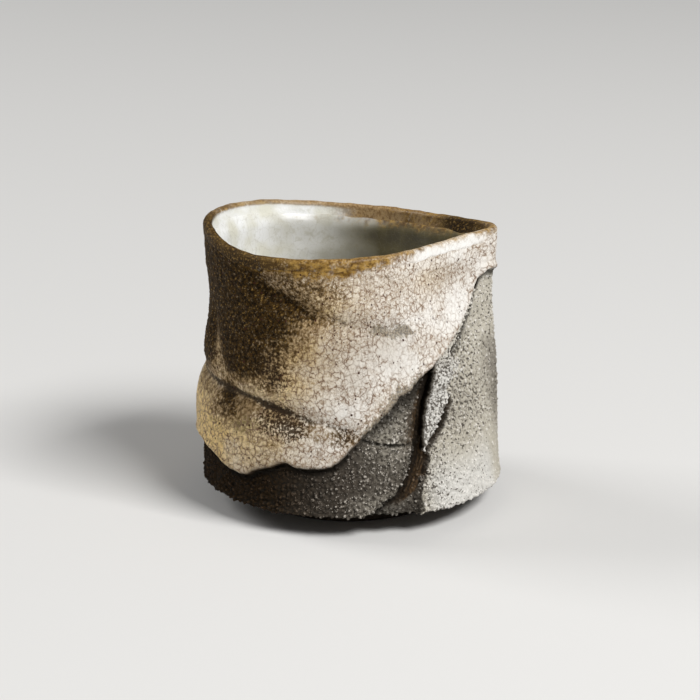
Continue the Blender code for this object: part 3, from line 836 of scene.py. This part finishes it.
def scrape(face):  # the furrow under the lap, the recess beside it, and the marks of the tool in both
    z, turn, deep = face.z, face.turn, face.deep
    inLap = ease(0.6 - face.slab / 0.5) * ease(34 - z)
    ridge = rightOf(lap["ridgeRight"], turn, z, face.radius)
    face.fray = flatNoise(14, turn / 2, z) * window(turn, *wall["frayed"])
    face.furrow = ease(deep / 0.5 + 0.3) * inLap * ramp(z, 19.5, -2)
    slope = 1 + (deep + 0.7 * face.fray) / mix(4.8, 2.2, ramp(z, 22, 6))
    face.recess = ease(1.25 * slope) * inLap * ramp(z, 16.5, 3)
    scraped = np.maximum(face.furrow * ease(0.5 - ridge), face.recess)
    face.radius = face.radius + wall["streak"] * flatNoise(9, deep / 0.42, z / 4.5) * scraped
    jagged = ridge + 0.5 * flatNoise(10, z / 0.7, turn / 3)
    face.brown = np.maximum(face.furrow * ease(0.6 - jagged / 0.6) * ramp(z, 5.8, 2), face.recess)


def shadeAndHaloOn(face):  # painted shade in the crack, the lap's gap and gutter and low in the lap; under the glaze's edge partly an iron halo and partly painted shadow
    z, turn, deep = face.z, face.turn, face.deep
    gutter = bump(deep - 0.25, 0.7) * ramp(turn, 276, 4) * ramp(z, 20, -2)
    low = ramp(z, 8.5, -3) * ease(deep / 0.5 + 0.3) * ease(0.8 - face.slab / 1.2)
    gap = ease(1 + deep / mix(0.7, 1.1, ramp(z, 25, 4))) * face.recess * mix(0.75, 1, ramp(z, 24, 4))
    shade = mix(0.95, 0.55, ramp(turn, 264, 10)) + 0.28 * ramp(turn, 278, 6)
    width = mix(0.6, 1.75, window(turn, *wall["wideShade"])) + 0.25 * face.fray
    shade = shade * bump(face.below - 0.6, width) * face.bare
    soot = np.maximum.reduce([shade, 0.92 * face.crack, 0.93 * gap, 0.9 * gutter, 0.55 * low])
    return np.clip(soot, 0, 1)


def palenessOf(face):  # pale on the lapped slab, dark at the far left and the back
    z, turn = face.z, face.turn
    drift = 14 * flatNoise(15, turn / 10, z / 7) + 6 * face.fray
    # darker towards the slab's right edge and paler towards its foot: partly the clay's tone, partly
    # painted shade and painted light
    slab = 0.73 - 0.08 * dab(turn, z, 322, 23, 12, 6) - 0.2 * ramp(turn, 336, 20) * ramp(z, 40, -8)
    slab = slab + 0.15 * ramp(turn, 292, 16) * ramp(z, 23, -14) + 0.03 * ramp(z, 29, 5)
    slab = slab * ease(face.slab / mix(2.2, 0.8, ramp(z, 6, 6)) + 0.4)
    slab = slab * ease((lap["shoulderEnd"] + 30 + drift - turn) / 60)
    # darker towards the far left: partly the clay's darker firing, partly painted shade
    left = 0.02 + 0.42 * ramp(turn, 226, 56) + 0.14 * dab(turn, z, 288, 21, 9, 5)
    left = left + 0.1 * about(turn, 279, 10) * ramp(z, 11, -4)
    furrow = 0.42 * face.furrow * (1 - face.brown) * ramp(z, 4.8, 3)
    back = 0.02 + ramp(turn, 530, -80) * np.clip(0.13 + 0.006 * drift, 0, 1)
    return np.maximum.reduce([slab, furrow, np.where(turn < 330, left, back)])


def clayWall():
    face = clayFace()
    scrape(face)
    angles, turn, bottom = face.angles, face.turn, cup["baseEdge"]
    soot, rust = shadeAndHaloOn(face), 0.95 * face.brown * face.bare
    smooth = 0.46 * ramp(turn, 302, 14) * ramp(face.z, 22, -10) + 0.3 * ramp(turn, 332, 16)
    smooth = smooth * ramp(turn, 450, -60)
    onSlab = ease(face.slab / 0.8 + 0.4) * ramp(turn, 500, -60)
    crowd = (1.5 - 0.5 * window(turn, *wall["sparse"])) * ramp(face.z, 5.2, 0.6)
    under = steps(wall["underRows"] + 1, 1)
    underZ = bottom + 0.8 * under + 0 * angles
    underR = mix(face.radius[:1], innerRadius(angles, bottom), under)
    insideZ = mix(underZ[-1:], face.top, steps(wall["insideRows"] + 1, 1))
    z = joined([face.z[::-1], underZ, insideZ])
    radius = joined([face.radius[::-1], underR, innerRadius(angles, insideZ)])
    # values on the outside, and the one that all the hidden rows have
    values = {
        "grit": (face.bare * (1 - 0.5 * rust) * (1 - 0.7 * smooth), 0.5),
        "sand": (crowd * face.bare * (1 - rust) * (1 - soot) * (1 - smooth), 0.0),
        "coarse": (0.68 + 0.32 * window(turn, *wall["coarse"]), 1.0),
        "soot": (soot, 0.0),
        "rust": (rust, 0.0),
        "pale": (palenessOf(face), 0.2),
        "across": (face.deep, 0.0),
        "pits": (mix(0.9, 0.8 - smooth, onSlab), 0.6),
    }
    traits = {}
    for name, (shown, rest) in values.items():
        hidden = np.full((len(z) - len(face.z), len(angles)), rest)
        traits[name] = joined([np.broadcast_to(shown, face.z.shape)[::-1], hidden])
    return ringMesh("clay_wall", place(angles, radius, z), angles, z, traits)


# Lapped flap
flap = {
    "across": 56,
    "up": 210,
    "edgeRound": 0.32,
    "proud": 0.32,  # above the cup's form at its left edge
    "seamSunk": -0.32,  # the same along the seam, where the glaze laps over it
    "tipSunk": -0.1,  # where its right edge runs into the slab, near the tip
    "sunk": -0.55,  # and higher up
    "underside": -2.2,
    "tipRun": 3.0,
    "topRun": 8.0,
}


def lapFlap():
    bottom, top = lap["flapLeft"][0][0], lap["flapLeft"][-1][0]
    z = mix(bottom, top, steps(flap["up"]))
    left, right = along(lap["flapLeft"], z), along(lap["flapRight"], z)
    arc = np.radians(formRadius(left, z))
    width = (right - left) * arc
    share = steps(flap["across"]).T ** 1.3
    s = share * width
    full = window(z, bottom, flap["tipRun"], top, flap["topRun"])
    sunk = mix(flap["tipSunk"], flap["sunk"], ramp(z, 23, 5))
    proud = mix(flap["proud"], flap["seamSunk"], ramp(z, 31.5, 3))
    rise = mix(sunk - 0.2, mix(proud, sunk, ease(share * 1.15 - 0.12)), full)
    fall = np.clip(1 - s / flap["edgeRound"], 0, 1)
    rise = rise - flap["edgeRound"] * (1 - np.sqrt(1 - fall**2)) * full
    angle = left + s / arc
    outer = formRadius(angle, z) + rise
    wobble = 0.1 * np.sin(z * 2.1) + 0.06 * np.sin(z * 5.3 + 1)
    angle = angle + wobble / arc * (1 - share)
    inner = formRadius(angle, z) + flap["underside"]
    tuck = angle + np.minimum(0.35, width * 0.3) / arc * (1 - 2 * share)
    grid = joined([place(angle, outer, z), place(tuck, inner, z)[:, ::-1]], 1).transpose(1, 0, 2)
    rows, columns = grid.shape[:2]
    faces = gridFaces(rows, columns, closed=False)[2]
    faces += [list(range(end, rows * columns, columns)) for end in (0, columns - 1)]
    onTop = np.repeat([1.0, 0.0], flap["across"])[:, None]
    edge = joined([(1 - ease(s / 0.3)).T, np.ones((flap["across"], columns))])
    high = ease((z[:, 0] - 30) / 6)
    traits = {
        "grit": onTop * (1 - 0.8 * edge),
        "sand": onTop * (1 - edge),
        "coarse": 1.0,
        # the flap's sides and underside, darkened as painted shade
        "soot": 0.8 * (1 - onTop),
        "rust": 0.2 * edge,
        "pale": mix(0.88, 0.8, high) * onTop,
        "pits": mix(0.97, 0.85, high) * onTop,
    }
    return skinned(newMesh("lap_flap_clay", grid, faces, traits))


# Floor and foot
base = {
    "columns": 240,
    "waves": ((0.18, 3, 1), (0.1, 7, 0)),
    "tones": {"sand": 0.0, "soot": 0.0, "rust": 0.15, "pale": 0.24, "pits": 0.6},
    "seamReach": 26.3,  # the floor's smeared edge, just inside the wall
    "sag": 0.25,  # of its underside, at the middle
    "footBatter": 0.8,
    "footEdge": 0.7,
    "footWidth": 4.6,
}


def turnedClay(name, profile, grit):
    angles = columnsAround(base["columns"])
    radius, z = np.array(profile).T[..., None] + 0 * angles
    radius = radius + ripple(angles, base["waves"]) * (radius > 1) * (z > 0.05)
    traits = {"grit": grit * ramp(z, 0.05, 0.5), **base["tones"]}
    return ringMesh(name, place(angles, radius, z), angles, z, traits)


def rounded(corners, step):  # a profile with points at even steps along it
    line = []
    for (r0, z0), (r1, z1) in zip(corners, corners[1:] + corners[:1]):
        count = max(int(np.hypot(r1 - r0, z1 - z0) / step), 1)
        line += [(mix(r0, r1, i / count), mix(z0, z1, i / count)) for i in range(count)]
    return line


def floorDisc():
    low, high, reach = floorLow.z, floorHigh.z, base["seamReach"]
    corners = [(0.0, high), (reach - 3.2, high), (reach - 1.2, low + 1.4), (reach, low + 0.2)]
    corners += [(reach - 0.6, low)]
    under = [(r, low - base["sag"] * (1 - r / reach)) for r in np.linspace(reach - 0.8, 0, 40)]
    return turnedClay("floor_clay", rounded(corners, 0.5)[:-1] + under, 0.45)


def footRing():
    batter, edge, top = base["footBatter"], base["footEdge"], floorLow.z + 0.4
    outer = (footHigh.x - footLow.x) / 2 - batter
    # one side from the top to the ground: distance from the ring's upright face, and height
    side = [(batter + 0.5, top), (batter * 0.7, top - 1.3)]
    side += [(0.0, edge), (-edge * 0.3, edge * 0.3), (-edge, 0.0)]
    corners = [(outer + out, z) for out, z in side]
    corners += [(outer - base["footWidth"] - out, z) for out, z in side[::-1]]
    return turnedClay("foot_clay", rounded(corners, 0.3), 0.3)


# Body glaze
coat = {
    "columns": 520,
    "crowding": (262, 62, 1.8),  # angle, spread and strength
    "rows": 140,
    "rollRows": 16,
    "edgeRadius": 29.5,  # mean radius of the wall along its lower edge
    "insideRows": 22,
    "bead": 0.3,  # the rolled edge stands this much prouder
    "lumps": ((0.1, 3.1, 5), (0.07, 1.3, 6), (0.18, 9.0, 7)),
    "clouds": ((0.4, 4.2, 11), (0.3, 1.7, 12)),
    "calmAt": (0, 16),  # angle and spread of the smooth stretch round the corner
    "thinAt": (290, 14),  # the same over the recess, where the coat runs out thin
    "seam": (312, 5, 358, 6),  # beside the flap it ends square
    "lumpsEnd": 54.4,  # smooth above this, under the lip's coat
    # how far the amber of the lip reaches down, by angle
    "amberReach": (
        (0, -.4), (30, .6), (60, .9), (100, 0), (140, -.8), (165, -.4), (190, .4), (212, .5), (222, .9),
        (231, 1.6), (243, 2.1), (256, 2.6), (268, 2.4), (282, 1.2), (294, .2), (306, -.8), (318, -1.2),
        (340, -1.2),
    ),
    # right border of the dark brown, partly umber glaze and partly painted shade on the cup's shaded left
    # side, as (height, angle), and how soft it is in degrees
    "shadedUmberBorder": ((28.5, 231), (32, 239), (36, 242), (40, 248), (44, 253), (49, 252), (53, 248)),
    "shadedUmberSoft": 42.0,
    "shadedUmberBack": ((26, 164), (34, 134), (42, 148), (50, 122), (55, 108)),  # its left border
    # soft patches of colour: angle, height, spread in degrees, spread in height, strength
    # spots of dark brown; those along the creases at the left are partly painted shade
    "umber": (
        (263, 49.5, 6, 2.2, .3), (236.5, 30.6, 4, 1.6, .75), (238.5, 33.4, 3.5, 1.6, .7),
        (253, 51.6, 8, 2, .46), (239, 51.5, 8, 2.5, .42), (243, 23.4, 7, 2.2, .15), (247, 45, 9, 2.5, .3),
        (100, 36, 14, 6, .4), (210.5, 28, 5, 1.5, .5), (213, 25.6, 5.5, 2.8, 1), (220, 23.6, 4, 1.6, .4),
        (239, 18.4, 7, 2.6, .3), (270, 20.6, 4, 1.4, .45),
    ),
    "pepper": (
        (242.5, 23.1, 5.5, 2.2, .4), (248, 22, 4, 1.6, .42), (235.5, 22.4, 4, 1.8, .3),
        (238, 32, 8, 4, .3), (268, 20.8, 5, 1.5, .4),
    ),
    "tan": (
        (198, 21, 10, 9, 1), (202, 34, 3, 6, .8), (214, 17, 12, 6, .8), (178, 20, 22, 10, .8),
        (120, 24, 26, 6, .5), (236, 20, 9, 4, .7), (232, 31, 12, 5, .6), (315, 50, 8, 2.5, .2),
        (246, 38, 12, 7, .6), (255, 47, 12, 4, .4), (222, 31, 8, 2.5, .9),
    ),
    # olive patches; the dark ones at the left, below the lower crease, are partly painted shade
    "olive": (
        (224.5, 23.5, 7, 2.8, .95), (210, 24.5, 4, 3.5, .95), (236, 23.5, 6, 2.2, .7),
        (228, 29.8, 7, 2, .2), (160, 30, 16, 5, .4), (208, 29, 5, 3, .5), (262, 44, 8, 2, .3),
    ),
    # white glaze; the patches under the lip at the right and at the corner are painted highlight
    "white": (
        (292, 35.5, 14, 4.5, .95), (334, 42, 12, 5, .95), (352, 50, 9, 5, .8), (325, 53.4, 16, 1.2, .9),
        (260, 19, 10, 3, .6), (268, 26.5, 8, 3.2, .95), (256, 27.5, 7, 2.5, .4), (266, 34, 10, 4.5, .5),
        (310, 44, 14, 6, .7), (70, 40, 20, 9, .5), (217, 15.4, 6, 2.6, .75), (223, 29, 4, 1.2, .6),
    ),
    "grey": (
        (258, 44.5, 9, 2, .25), (268, 42.8, 7, 1.3, .3), (295.5, 40.4, 6, 1.1, .8), (285, 41.3, 6, 1, .5),
        (324, 52, 12, 1.2, .3), (287, 52.5, 10, 2, .3), (246, 46.5, 8, 2, .3), (275, 38.5, 12, 2, .2),
        (266, 20.9, 5, 1.5, .55),
    ),
    # spots of painted shade
    "dull": ((258, 37, 10, 4.5, .48), (271, 33, 5, 4, .36), (326, 50.5, 13, 2.2, .32)),
}


def dabsOf(name, angle, z):
    return [strength * dab(angle, z, *spot) for *spot, strength in coat[name]]


def patches(name, angle, z):  # patches that add up where they meet
    return 1 - np.prod([1 - shown for shown in dabsOf(name, angle, z)], axis=0)


def amberAt(angle, z):
    return np.clip(0.5 + (z - cup["lipCentre"] + around(coat["amberReach"], angle)) / 2.8, 0, 1)


# Dark brown over the cup's left side, fading to the right: partly umber glaze, partly painted shade on the
# shaded side.
def shadedUmberAt(angle, z):
    front = ease(0.5 + (along(coat["shadedUmberBorder"], z) - angle % 360.0) / coat["shadedUmberSoft"])
    low = 25 + 5 * about(angle, 158, 15) - 2.5 * about(angle, 184, 9)
    return front * ease((angle % 360.0 - along(coat["shadedUmberBack"], z)) / 44) * ease((z - low) / 9)


def glazeFace():  # rows up the outside, with the noises and creases that thickness and colours go by
    angles = columnsAround(coat["columns"], *coat["crowding"])
    edge = glazeEdge(angles)
    turns = np.radians(np.append(angles, angles[0] + 360))
    slope = np.gradient(np.append(edge, edge[0]), turns)[:-1] / coat["edgeRadius"]
    lean = 1 / np.hypot(1, slope)
    roll = steps(coat["rollRows"] + 1)[:-1] ** 2 * glaze["roll"] * 1.4 / lean
    rise = joined([roll, mix(roll[-1:] + 0.15, glaze["top"] - edge, steps(coat["rows"]))])
    z = edge + rise
    clay = clayRadius(angles, z)
    spot = place(angles, clay, z) / mm
    near = softNoise(spot, 2.6, 13)
    strength = along(glaze["lowerStrength"], angles % 360)
    stripe = upLine("stripe", angles, z, clay, 1.7, 27, 4, 43, 9)
    return SimpleNamespace(
        angles=angles, edge=edge, z=z, away=rise * lean, clay=clay, spot=spot, near=near,
        cloudy=1 + lumpy(spot, coat["clouds"]),
        calm=1 - 0.9 * about(angles, *coat["calmAt"]),
        thin=about(angles, *coat["thinAt"]),
        seam=window(angles, *coat["seam"]),
        low=strength * creaseOf("lowerCrease", angles, z + 0.35 * near, 0.7),
        fold=strength * creaseOf("lowerCrease", angles, z + 0.35 * near, 0.48),
        underLow=strength * creaseOf("lowerCrease", angles, z + 1.7, 1.5),
        besideLow=strength * creaseOf("lowerCrease", angles, z, 1.6),
        up=creaseOf("upperCrease", angles, z + 0.3 * near, 1.0),
        overUp=z - along(glaze["upperCrease"], angles % 360),
        stripe=stripe * np.clip(0.75 + 0.5 * near + 0.5 * softNoise(spot, 1.1, 16), 0, 1),
    )


def glazeRadius(face):  # rolled edge, thin run over the recess, lumps, and creases sharper than the clay's
    angles, z, away = face.angles, face.z, face.away
    fall = np.clip(1 - away / mix(glaze["roll"], 0.4, face.seam), 0, 1)
    thick = glaze["thickness"] * np.sqrt(1 - fall**2) * (1 - 0.65 * face.thin * np.exp(-away / 2.0))
    bead = coat["bead"] * bump(away - 0.9, 0.7) * (1 - face.thin) * (1 - 0.8 * face.seam) * face.calm
    slab, turn = lapParts(angles, z, face.clay)[1:]
    overSlab = 0.7 * ease(slab / 1.5 + 0.5) * shoulderShare(turn) * ease(away / 2)
    lumps = lumpy(face.spot, coat["lumps"]) * face.calm
    lumps = lumps * ease(away / 1.5) * ramp(z, coat["lumpsEnd"], -3)
    ridge = 0.15 * dab(angles, z, 325, 53.2, 18, 0.8)
    sharp = 0.35 * face.low + 0.3 * creaseOf("upperCrease", angles, z, 0.9)
    return face.clay + thick + bead - overSlab + lumps + ridge - sharp


# Dark brown, with painted shade along the upper crease, the left crease and under the lower crease.
def shadedUmberOn(face):
    angles, z, cloudy = face.angles, face.z, face.cloudy
    umber = 1.12 * shadedUmberAt(angles, z) * mix(1, cloudy, 0.3)
    umber = mix(umber, np.minimum(umber, 0.68), ease(face.overUp / 2.2) * ramp(angles, 222, 14))
    umber = (umber + 0.22 * face.up * window(angles, 228, 10, 276, 22)) * (1 - 0.5 * face.stripe)
    left = 0.75 * upLine("leftCrease", angles, z, face.clay, 0.7, 23, 3, 45, 5) * (1 - face.stripe)
    spots = patches("umber", angles, z) * cloudy
    return np.maximum.reduce([spots, umber, left, 0.5 * face.underLow * cloudy])


def glazeTraits(face):
    angles, z, near, cloudy, away = face.angles, face.z, face.near, face.cloudy, face.away
    umber = np.clip(shadedUmberOn(face), 0, 1)
    # Grey-green along the creases, partly glaze pooled in them and partly painted shade; also the thin edge
    # over the recess.
    grey = np.maximum.reduce([
        patches("grey", angles, z) * (1 + 0.6 * near), 0.75 * face.low * (0.85 + 0.4 * near),
        0.4 * face.up * (1 + 0.6 * near), 0.3 * face.besideLow, face.thin * bump(away, 1.5 + 0.6 * near)])
    # Painted shade: in the hollow under the upper crease, under the lower crease, along the rolled edge at
    # the left front, and in spots.
    hollow = bump(face.overUp + 1.4, np.where(face.overUp > -1.4, 1.9, 4.5))
    hollow = 0.52 * hollow * window(angles, 232, 12, 314, 30)
    rollShade = 0.5 * bump(away - 0.6, 1.0) * about(angles, 236, 12)
    dull = np.maximum.reduce([hollow, 0.55 * face.underLow, rollShade, *dabsOf("dull", angles, z)])
    olive = np.clip(patches("olive", angles, z) * cloudy, 0, 1)
    pebbled = ramp(away, 0.3, 1.2) * ramp(z, coat["lumpsEnd"], -1.5)
    shown = {
        "umber": umber,
        "tan": np.maximum(patches("tan", angles, z) * cloudy, 0.7 * face.stripe),
        # olive glaze, deepened below the lower crease as painted shade
        "olive": np.maximum(0.75 * olive, 0.6 * face.underLow * cloudy),
        "white": patches("white", angles, z) * cloudy,
        "grey": grey,
        "dull": dull * mix(1, cloudy, 0.5),
        "pepper": patches("pepper", angles, z) * (1 + 0.5 * near),
        # dark line in the lower crease's valley: partly pooled glaze, partly painted shade
        "fold": face.fold * (1 + 0.45 * near),
        # dark at the coat's lower edge: partly an iron halo, partly painted shade under the rolled edge
        "rim": bump(away, 0.35) * (1 - 0.55 * face.thin) * (1 - 0.75 * face.seam),
        "amber": amberAt(angles, z),
        "grit": (0.08 + 0.5 * umber) * pebbled * face.calm,
    }
    return {name: np.clip(values, 0, 1) for name, values in shown.items()}


def bodyGlaze():
    face = glazeFace()
    angles = face.angles
    insideZ = mix(face.z[-1:], face.edge + 0.2, steps(coat["insideRows"] + 1))
    z = joined([face.z, insideZ])
    radius = joined([glazeRadius(face), clayRadius(angles, insideZ) - 0.5])
    traits = {name: joined([shown, 0 * insideZ]) for name, shown in glazeTraits(face).items()}
    return ringMesh("body_glaze_coat", place(angles, radius, z), angles, z, traits)


# Lip glaze
lip = {
    "columns": 480,
    "crowding": (270, 90, 0.6),
    "half": 0.95,  # half the lip's thickness at the top
    "lowered": 0.05,  # its crest lies this far under the cup's height
    "proud": 0.02,  # and this far outside the cup's form
    "outerEdge": 54.0,
    "outerWaves": ((0.2, 9, 1), (0.12, 23, 0), (0.1, 51, 2)),
    "innerEdge": 54.05,
    "innerWaves": ((0.2, 7, 2), (0.15, 19, 0)),
    "dents": ((0.05, 17, 0.5), (0.03, 41, 0)),
    "lumps": ((0.07, 1.6, 21), (0.05, 0.8, 22)),
    "legRows": 12,
    "arcRows": 16,
    "coreRows": 2,
    "bevel": 1.5,  # the inside leans out this much under the lip
    "bevelFrom": 52.0,
    "bevelTo": 55.8,
    "liningInset": 0.9,  # the lining's face lies this far inside the clay
    "farSide": (150, 95, 30),  # angle, reach and softness of the crest that is brown all over
    "cleanSide": (162, 78, 24),  # the same where the lining runs up to the crest
}


def liningRadius(angle, z):
    bevel = lip["bevel"] * ramp(z, lip["bevelFrom"], lip["bevelTo"] - lip["bevelFrom"])
    return innerRadius(angle, z) - lip["liningInset"] + bevel


def lipCoat():
    angles = columnsAround(lip["columns"], *lip["crowding"])
    half, top = lip["half"], cup["height"] - lip["half"] - lip["lowered"]
    outerAt = formRadius(angles, top) + lip["proud"]
    low = lip["outerEdge"] + ripple(angles, lip["outerWaves"])
    leg = steps(lip["legRows"])
    outZ = mix(low, top, leg)
    outR = formRadius(angles, outZ) + mix(-0.4, lip["proud"], ease((outZ - low) / 0.9))
    arc = np.radians(np.linspace(0, 180, lip["arcRows"] + 2)[1:-1])[:, None]
    overZ = top + (half + ripple(angles, lip["dents"])) * np.sin(arc)
    overR = outerAt - half + half * np.cos(arc)
    inLow = lip["innerEdge"] + ripple(angles, lip["innerWaves"])
    inZ = mix(top, inLow, leg)
    inR = mix(outerAt - 2 * half, liningRadius(angles, inLow) + 0.08, leg**1.2)
    core = steps(lip["coreRows"] + 2, 1)[:-1]
    coreZ = mix(inLow, low, core)
    coreR = mix(inR[-1:] + 0.4, outR[:1] - 0.4, core)
    z = joined([outZ, overZ, inZ, coreZ])
    radius = joined([outR, overR, inR, coreR])
    spot = place(angles, radius, z) / mm
    radius = radius + lumpy(spot, lip["lumps"]) * ease((z - low - 0.3) / 0.8)
    innerRun = 2 * top - inZ + np.pi * half
    run = joined([outZ, top + half * arc + 0 * overZ, innerRun, innerRun[-1:] + 0 * coreZ])
    traits = lipTraits(angles, spot, run, run - top - np.pi / 2 * half)
    piece = ringMesh("lip_glaze_coat", place(angles, radius, z), angles, run, traits)
    piece.data.materials.append(lipLook)
    return piece


def lipTraits(angles, spot, run, pastCrest):  # run is the way along the profile, from the outer edge
    def sideOf(centre, reach, soft):
        return ease((reach - np.abs(turnBetween(angles, centre))) / soft)

    clean = ramp(pastCrest, 1.0, 0.9) * sideOf(*lip["cleanSide"])
    # dark on the left and in the inner corner near 16 degrees: partly the lip's dark brown glaze, partly
    # painted shade
    leftSide = np.clip(np.maximum(1.3 * about(angles, 203, 28), 0.95 * about(angles, 16, 10)), 0, 1)
    wide = mix(0.7, 1.4, sideOf(*lip["farSide"]))
    crest = bump(pastCrest, wide) * (0.7 + 0.5 * softNoise(spot, 2.0, 23)) * (1 - 0.65 * leftSide)
    fade = np.clip(1.1 * about(angles, 80, 52) * (0.75 + 0.5 * softNoise(spot, 3.0, 24)), 0, 1)
    # white on the right outside and on the far inside: white glaze with a painted highlight on the rounded
    # lip
    white = np.maximum(np.clip(1.3 * about(angles, 328, 23), 0, 1), about(angles, 140, 34))
    return {
        "clean": clean,
        "crest": np.clip(crest * (1 - clean), 0, 1),
        "dark": leftSide,
        "fade": fade * (1 - clean),
        "amber": amberAt(angles, run) * (1 - clean),
        "white": np.maximum(white, clean),
    }


# Lining
lining = {
    "columns": 300,
    "rows": 70,
    "top": 54.95,
    "overFloor": 1.0,
    "bend": 6.0,  # radius where the wall turns into the floor
    "bendRows": 14,
    "floorRows": 22,
    "floorRise": 0.5,
    "thickness": 0.45,
    "lumps": ((0.28, 8.0, 31), (0.08, 3.2, 33)),
    "tuck": 0.5,  # the top edge goes this far behind the lip's coat
    "tuckFrom": 54.4,
    "shadedPoolAt": (25, 74),  # angle and spread of the olive at the corner: pooled glaze and painted shade on the lining's shaded side
    "tanAt": (50, 34),  # the same for the amber under the lip
}


def liningCoat():
    angles = columnsAround(lining["columns"])
    bottom, bend = floorHigh.z + lining["overFloor"], lining["bend"]
    wallZ = mix(lining["top"], bottom + bend, steps(lining["rows"])) + 0 * angles
    wallR = liningRadius(angles, wallZ)
    turn = np.linspace(0, np.pi / 2, lining["bendRows"] + 1)[1:, None]
    bendZ = bottom + bend * (1 - np.sin(turn)) + 0 * angles
    bendR = wallR[-1:] - bend * (1 - np.cos(turn))
    share = np.linspace(1, 0, lining["floorRows"] + 1)[1:, None]
    flatZ = bottom + lining["floorRise"] * (1 - share**2) * np.cos(share * 3) + 0 * angles
    z, radius = joined([wallZ, bendZ, flatZ]), joined([wallR, bendR, bendR[-1:] * share])
    spot = place(angles, radius, z) / mm
    marks = 0.05 * np.sin(z * 1.15 + np.radians(angles)) + lumpy(spot, lining["lumps"])
    radius = radius + marks * ease(radius / 6) * ramp(z, 55, -3)
    radius = radius + lining["tuck"] * ramp(z, lining["tuckFrom"], 0.5)
    backR = np.maximum(radius + lining["thickness"], 0) * (radius > 0.01)
    backZ = z - lining["thickness"] * ramp(z, bottom + bend, -bend)
    # Olive-brown at the right of the inside and low down: pooled glaze, and painted shade where the near
    # wall shades the lining.
    corner = 1.65 * about(angles, *lining["shadedPoolAt"]) ** 1.5 - 0.17
    pool = corner * ramp(z, 57, -5) + 0.3 * ramp(z, 18, -6) + 0.2 * softNoise(spot, 5.0, 32)
    tan = np.clip(0.5 + (z - 53.4) / 2.6, 0, 1) * np.clip(1.15 * about(angles, *lining["tanAt"]), 0, 1)
    shown = {"pool": np.clip(pool, 0, 0.97), "amber": tan}
    traits = {name: joined([values, 0 * values]) for name, values in shown.items()}
    allZ, allR = joined([z, backZ[::-1]]), joined([radius, backR[::-1]])
    piece = ringMesh("lining_glaze_coat", place(angles, allR, allZ), angles, allZ, traits)
    piece.data.materials.append(liningLook)
    return piece


# Loose sand on the bare clay
sandInputs = {
    "wall_sand": {"Grains per mm2": 2.2, "Seed": 3},
    "flap_sand": {"Grains per mm2": 2.0, "Seed": 4},
}
grainInputs = {"Smallest": 0.11, "Largest": 0.3, "Material": clayLook}


def sandOn(piece, name):
    return worked(added(name, piece.data.copy()), sandy, {**grainInputs, **sandInputs[name]})


clayPieces = {
    "wall_slab": clayWall(),
    "lap_flap": lapFlap(),
    "floor_disc": floorDisc(),
    "foot_ring": footRing(),
}
for piece in clayPieces.values():
    worked(piece, gritty, gritInputs)
print("clay built")
glazePieces = {"outer_glaze": bodyGlaze(), "lip_glaze": lipCoat(), "inner_glaze": liningCoat()}
worked(glazePieces["outer_glaze"], gritty, pebbleInputs)
print("glazes laid on")
wallSand = sandOn(clayPieces["wall_slab"], "wall_sand")
flapSand = sandOn(clayPieces["lap_flap"], "flap_sand")
for node, piece in {**clayPieces, **glazePieces}.items():
    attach(piece, "root")
    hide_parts(node)
for piece in (wallSand, flapSand):
    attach(piece, "root")
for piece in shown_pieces():
    print(piece.name, len(piece.data.polygons), "faces")

# Floor, light and camera
studio = {
    "floorSize": 6.0,
    "floorColour": (0.78, 0.77, 0.75),
    "floorRoughness": 0.9,
    "surround": (0.86, 0.87, 0.88),
    "surroundLight": 0.155,
    # lamps: place as (azimuth from the front, towards the right; elevation; distance), width, height, watts
    "key": ((46, 46, 1.6), 0.8, 0.55, 26.5),
    "rim": ((-112, 34, 1.6), 0.7, 0.7, 9.0),
    "target": 0.0305,
    "distance": 0.55,
    "elevation": 16.5,
    "lens": 136.9,
    "sensor": 36.0,
    "clip": (0.01, 20.0),
}


def aimed(name, data, azimuth, elevation, distance):  # a lamp or camera that looks at the cup's middle
    a, e = np.radians(azimuth), np.radians(elevation)
    towards = Vector((np.sin(a) * np.cos(e), -np.cos(a) * np.cos(e), np.sin(e)))
    thing = added(name, data)
    thing.location = Vector((axisPlace.x * mm, 0.0, studio["target"])) + towards * distance
    thing.rotation_euler = (-towards).to_track_quat("-Z", "Y").to_euler()
    return thing


def stageFloor():
    mesh = bpy.data.meshes.new("floor_sheet")
    half = studio["floorSize"] / 2
    corners = [(-half, -half, 0), (half, -half, 0), (half, half, 0), (-half, half, 0)]
    mesh.from_pydata(corners, [], [(0, 1, 2, 3)])
    material, tree = newFinish("pale_floor")
    shader = tree.nodes["Principled BSDF"]
    feed(tree, shader.inputs["Base Color"], studio["floorColour"])
    feed(tree, shader.inputs["Roughness"], studio["floorRoughness"])
    mesh.materials.append(material)
    added("floor_sheet", mesh)


def lamp(name):
    spot, width, height, watts = studio[name]
    light = bpy.data.lights.new(name, "AREA")
    light.shape, light.size, light.size_y, light.energy = "RECTANGLE", width, height, watts
    aimed(name, light, *spot)


def surround():
    world = bpy.data.worlds.new("surround")
    bpy.context.scene.world = world
    world.use_nodes = True
    tree = world.node_tree
    background = tree.nodes["Background"]
    feed(tree, background.inputs["Color"], studio["surround"])
    seen = put(tree, "ShaderNodeLightPath", out="Is Camera Ray")
    feed(tree, background.inputs["Strength"], seen.span(0.0, 1.0, studio["surroundLight"], 1.0))


stageFloor()
lamp("key")
lamp("rim")
surround()
camera = bpy.data.cameras.new("camera")
camera.lens, camera.sensor_width = studio["lens"], studio["sensor"]
camera.clip_start, camera.clip_end = studio["clip"]
bpy.context.scene.camera = aimed("camera", camera, 0.0, studio["elevation"], studio["distance"])
bpy.context.scene.view_settings.view_transform = "Standard"
print("camera and light set")
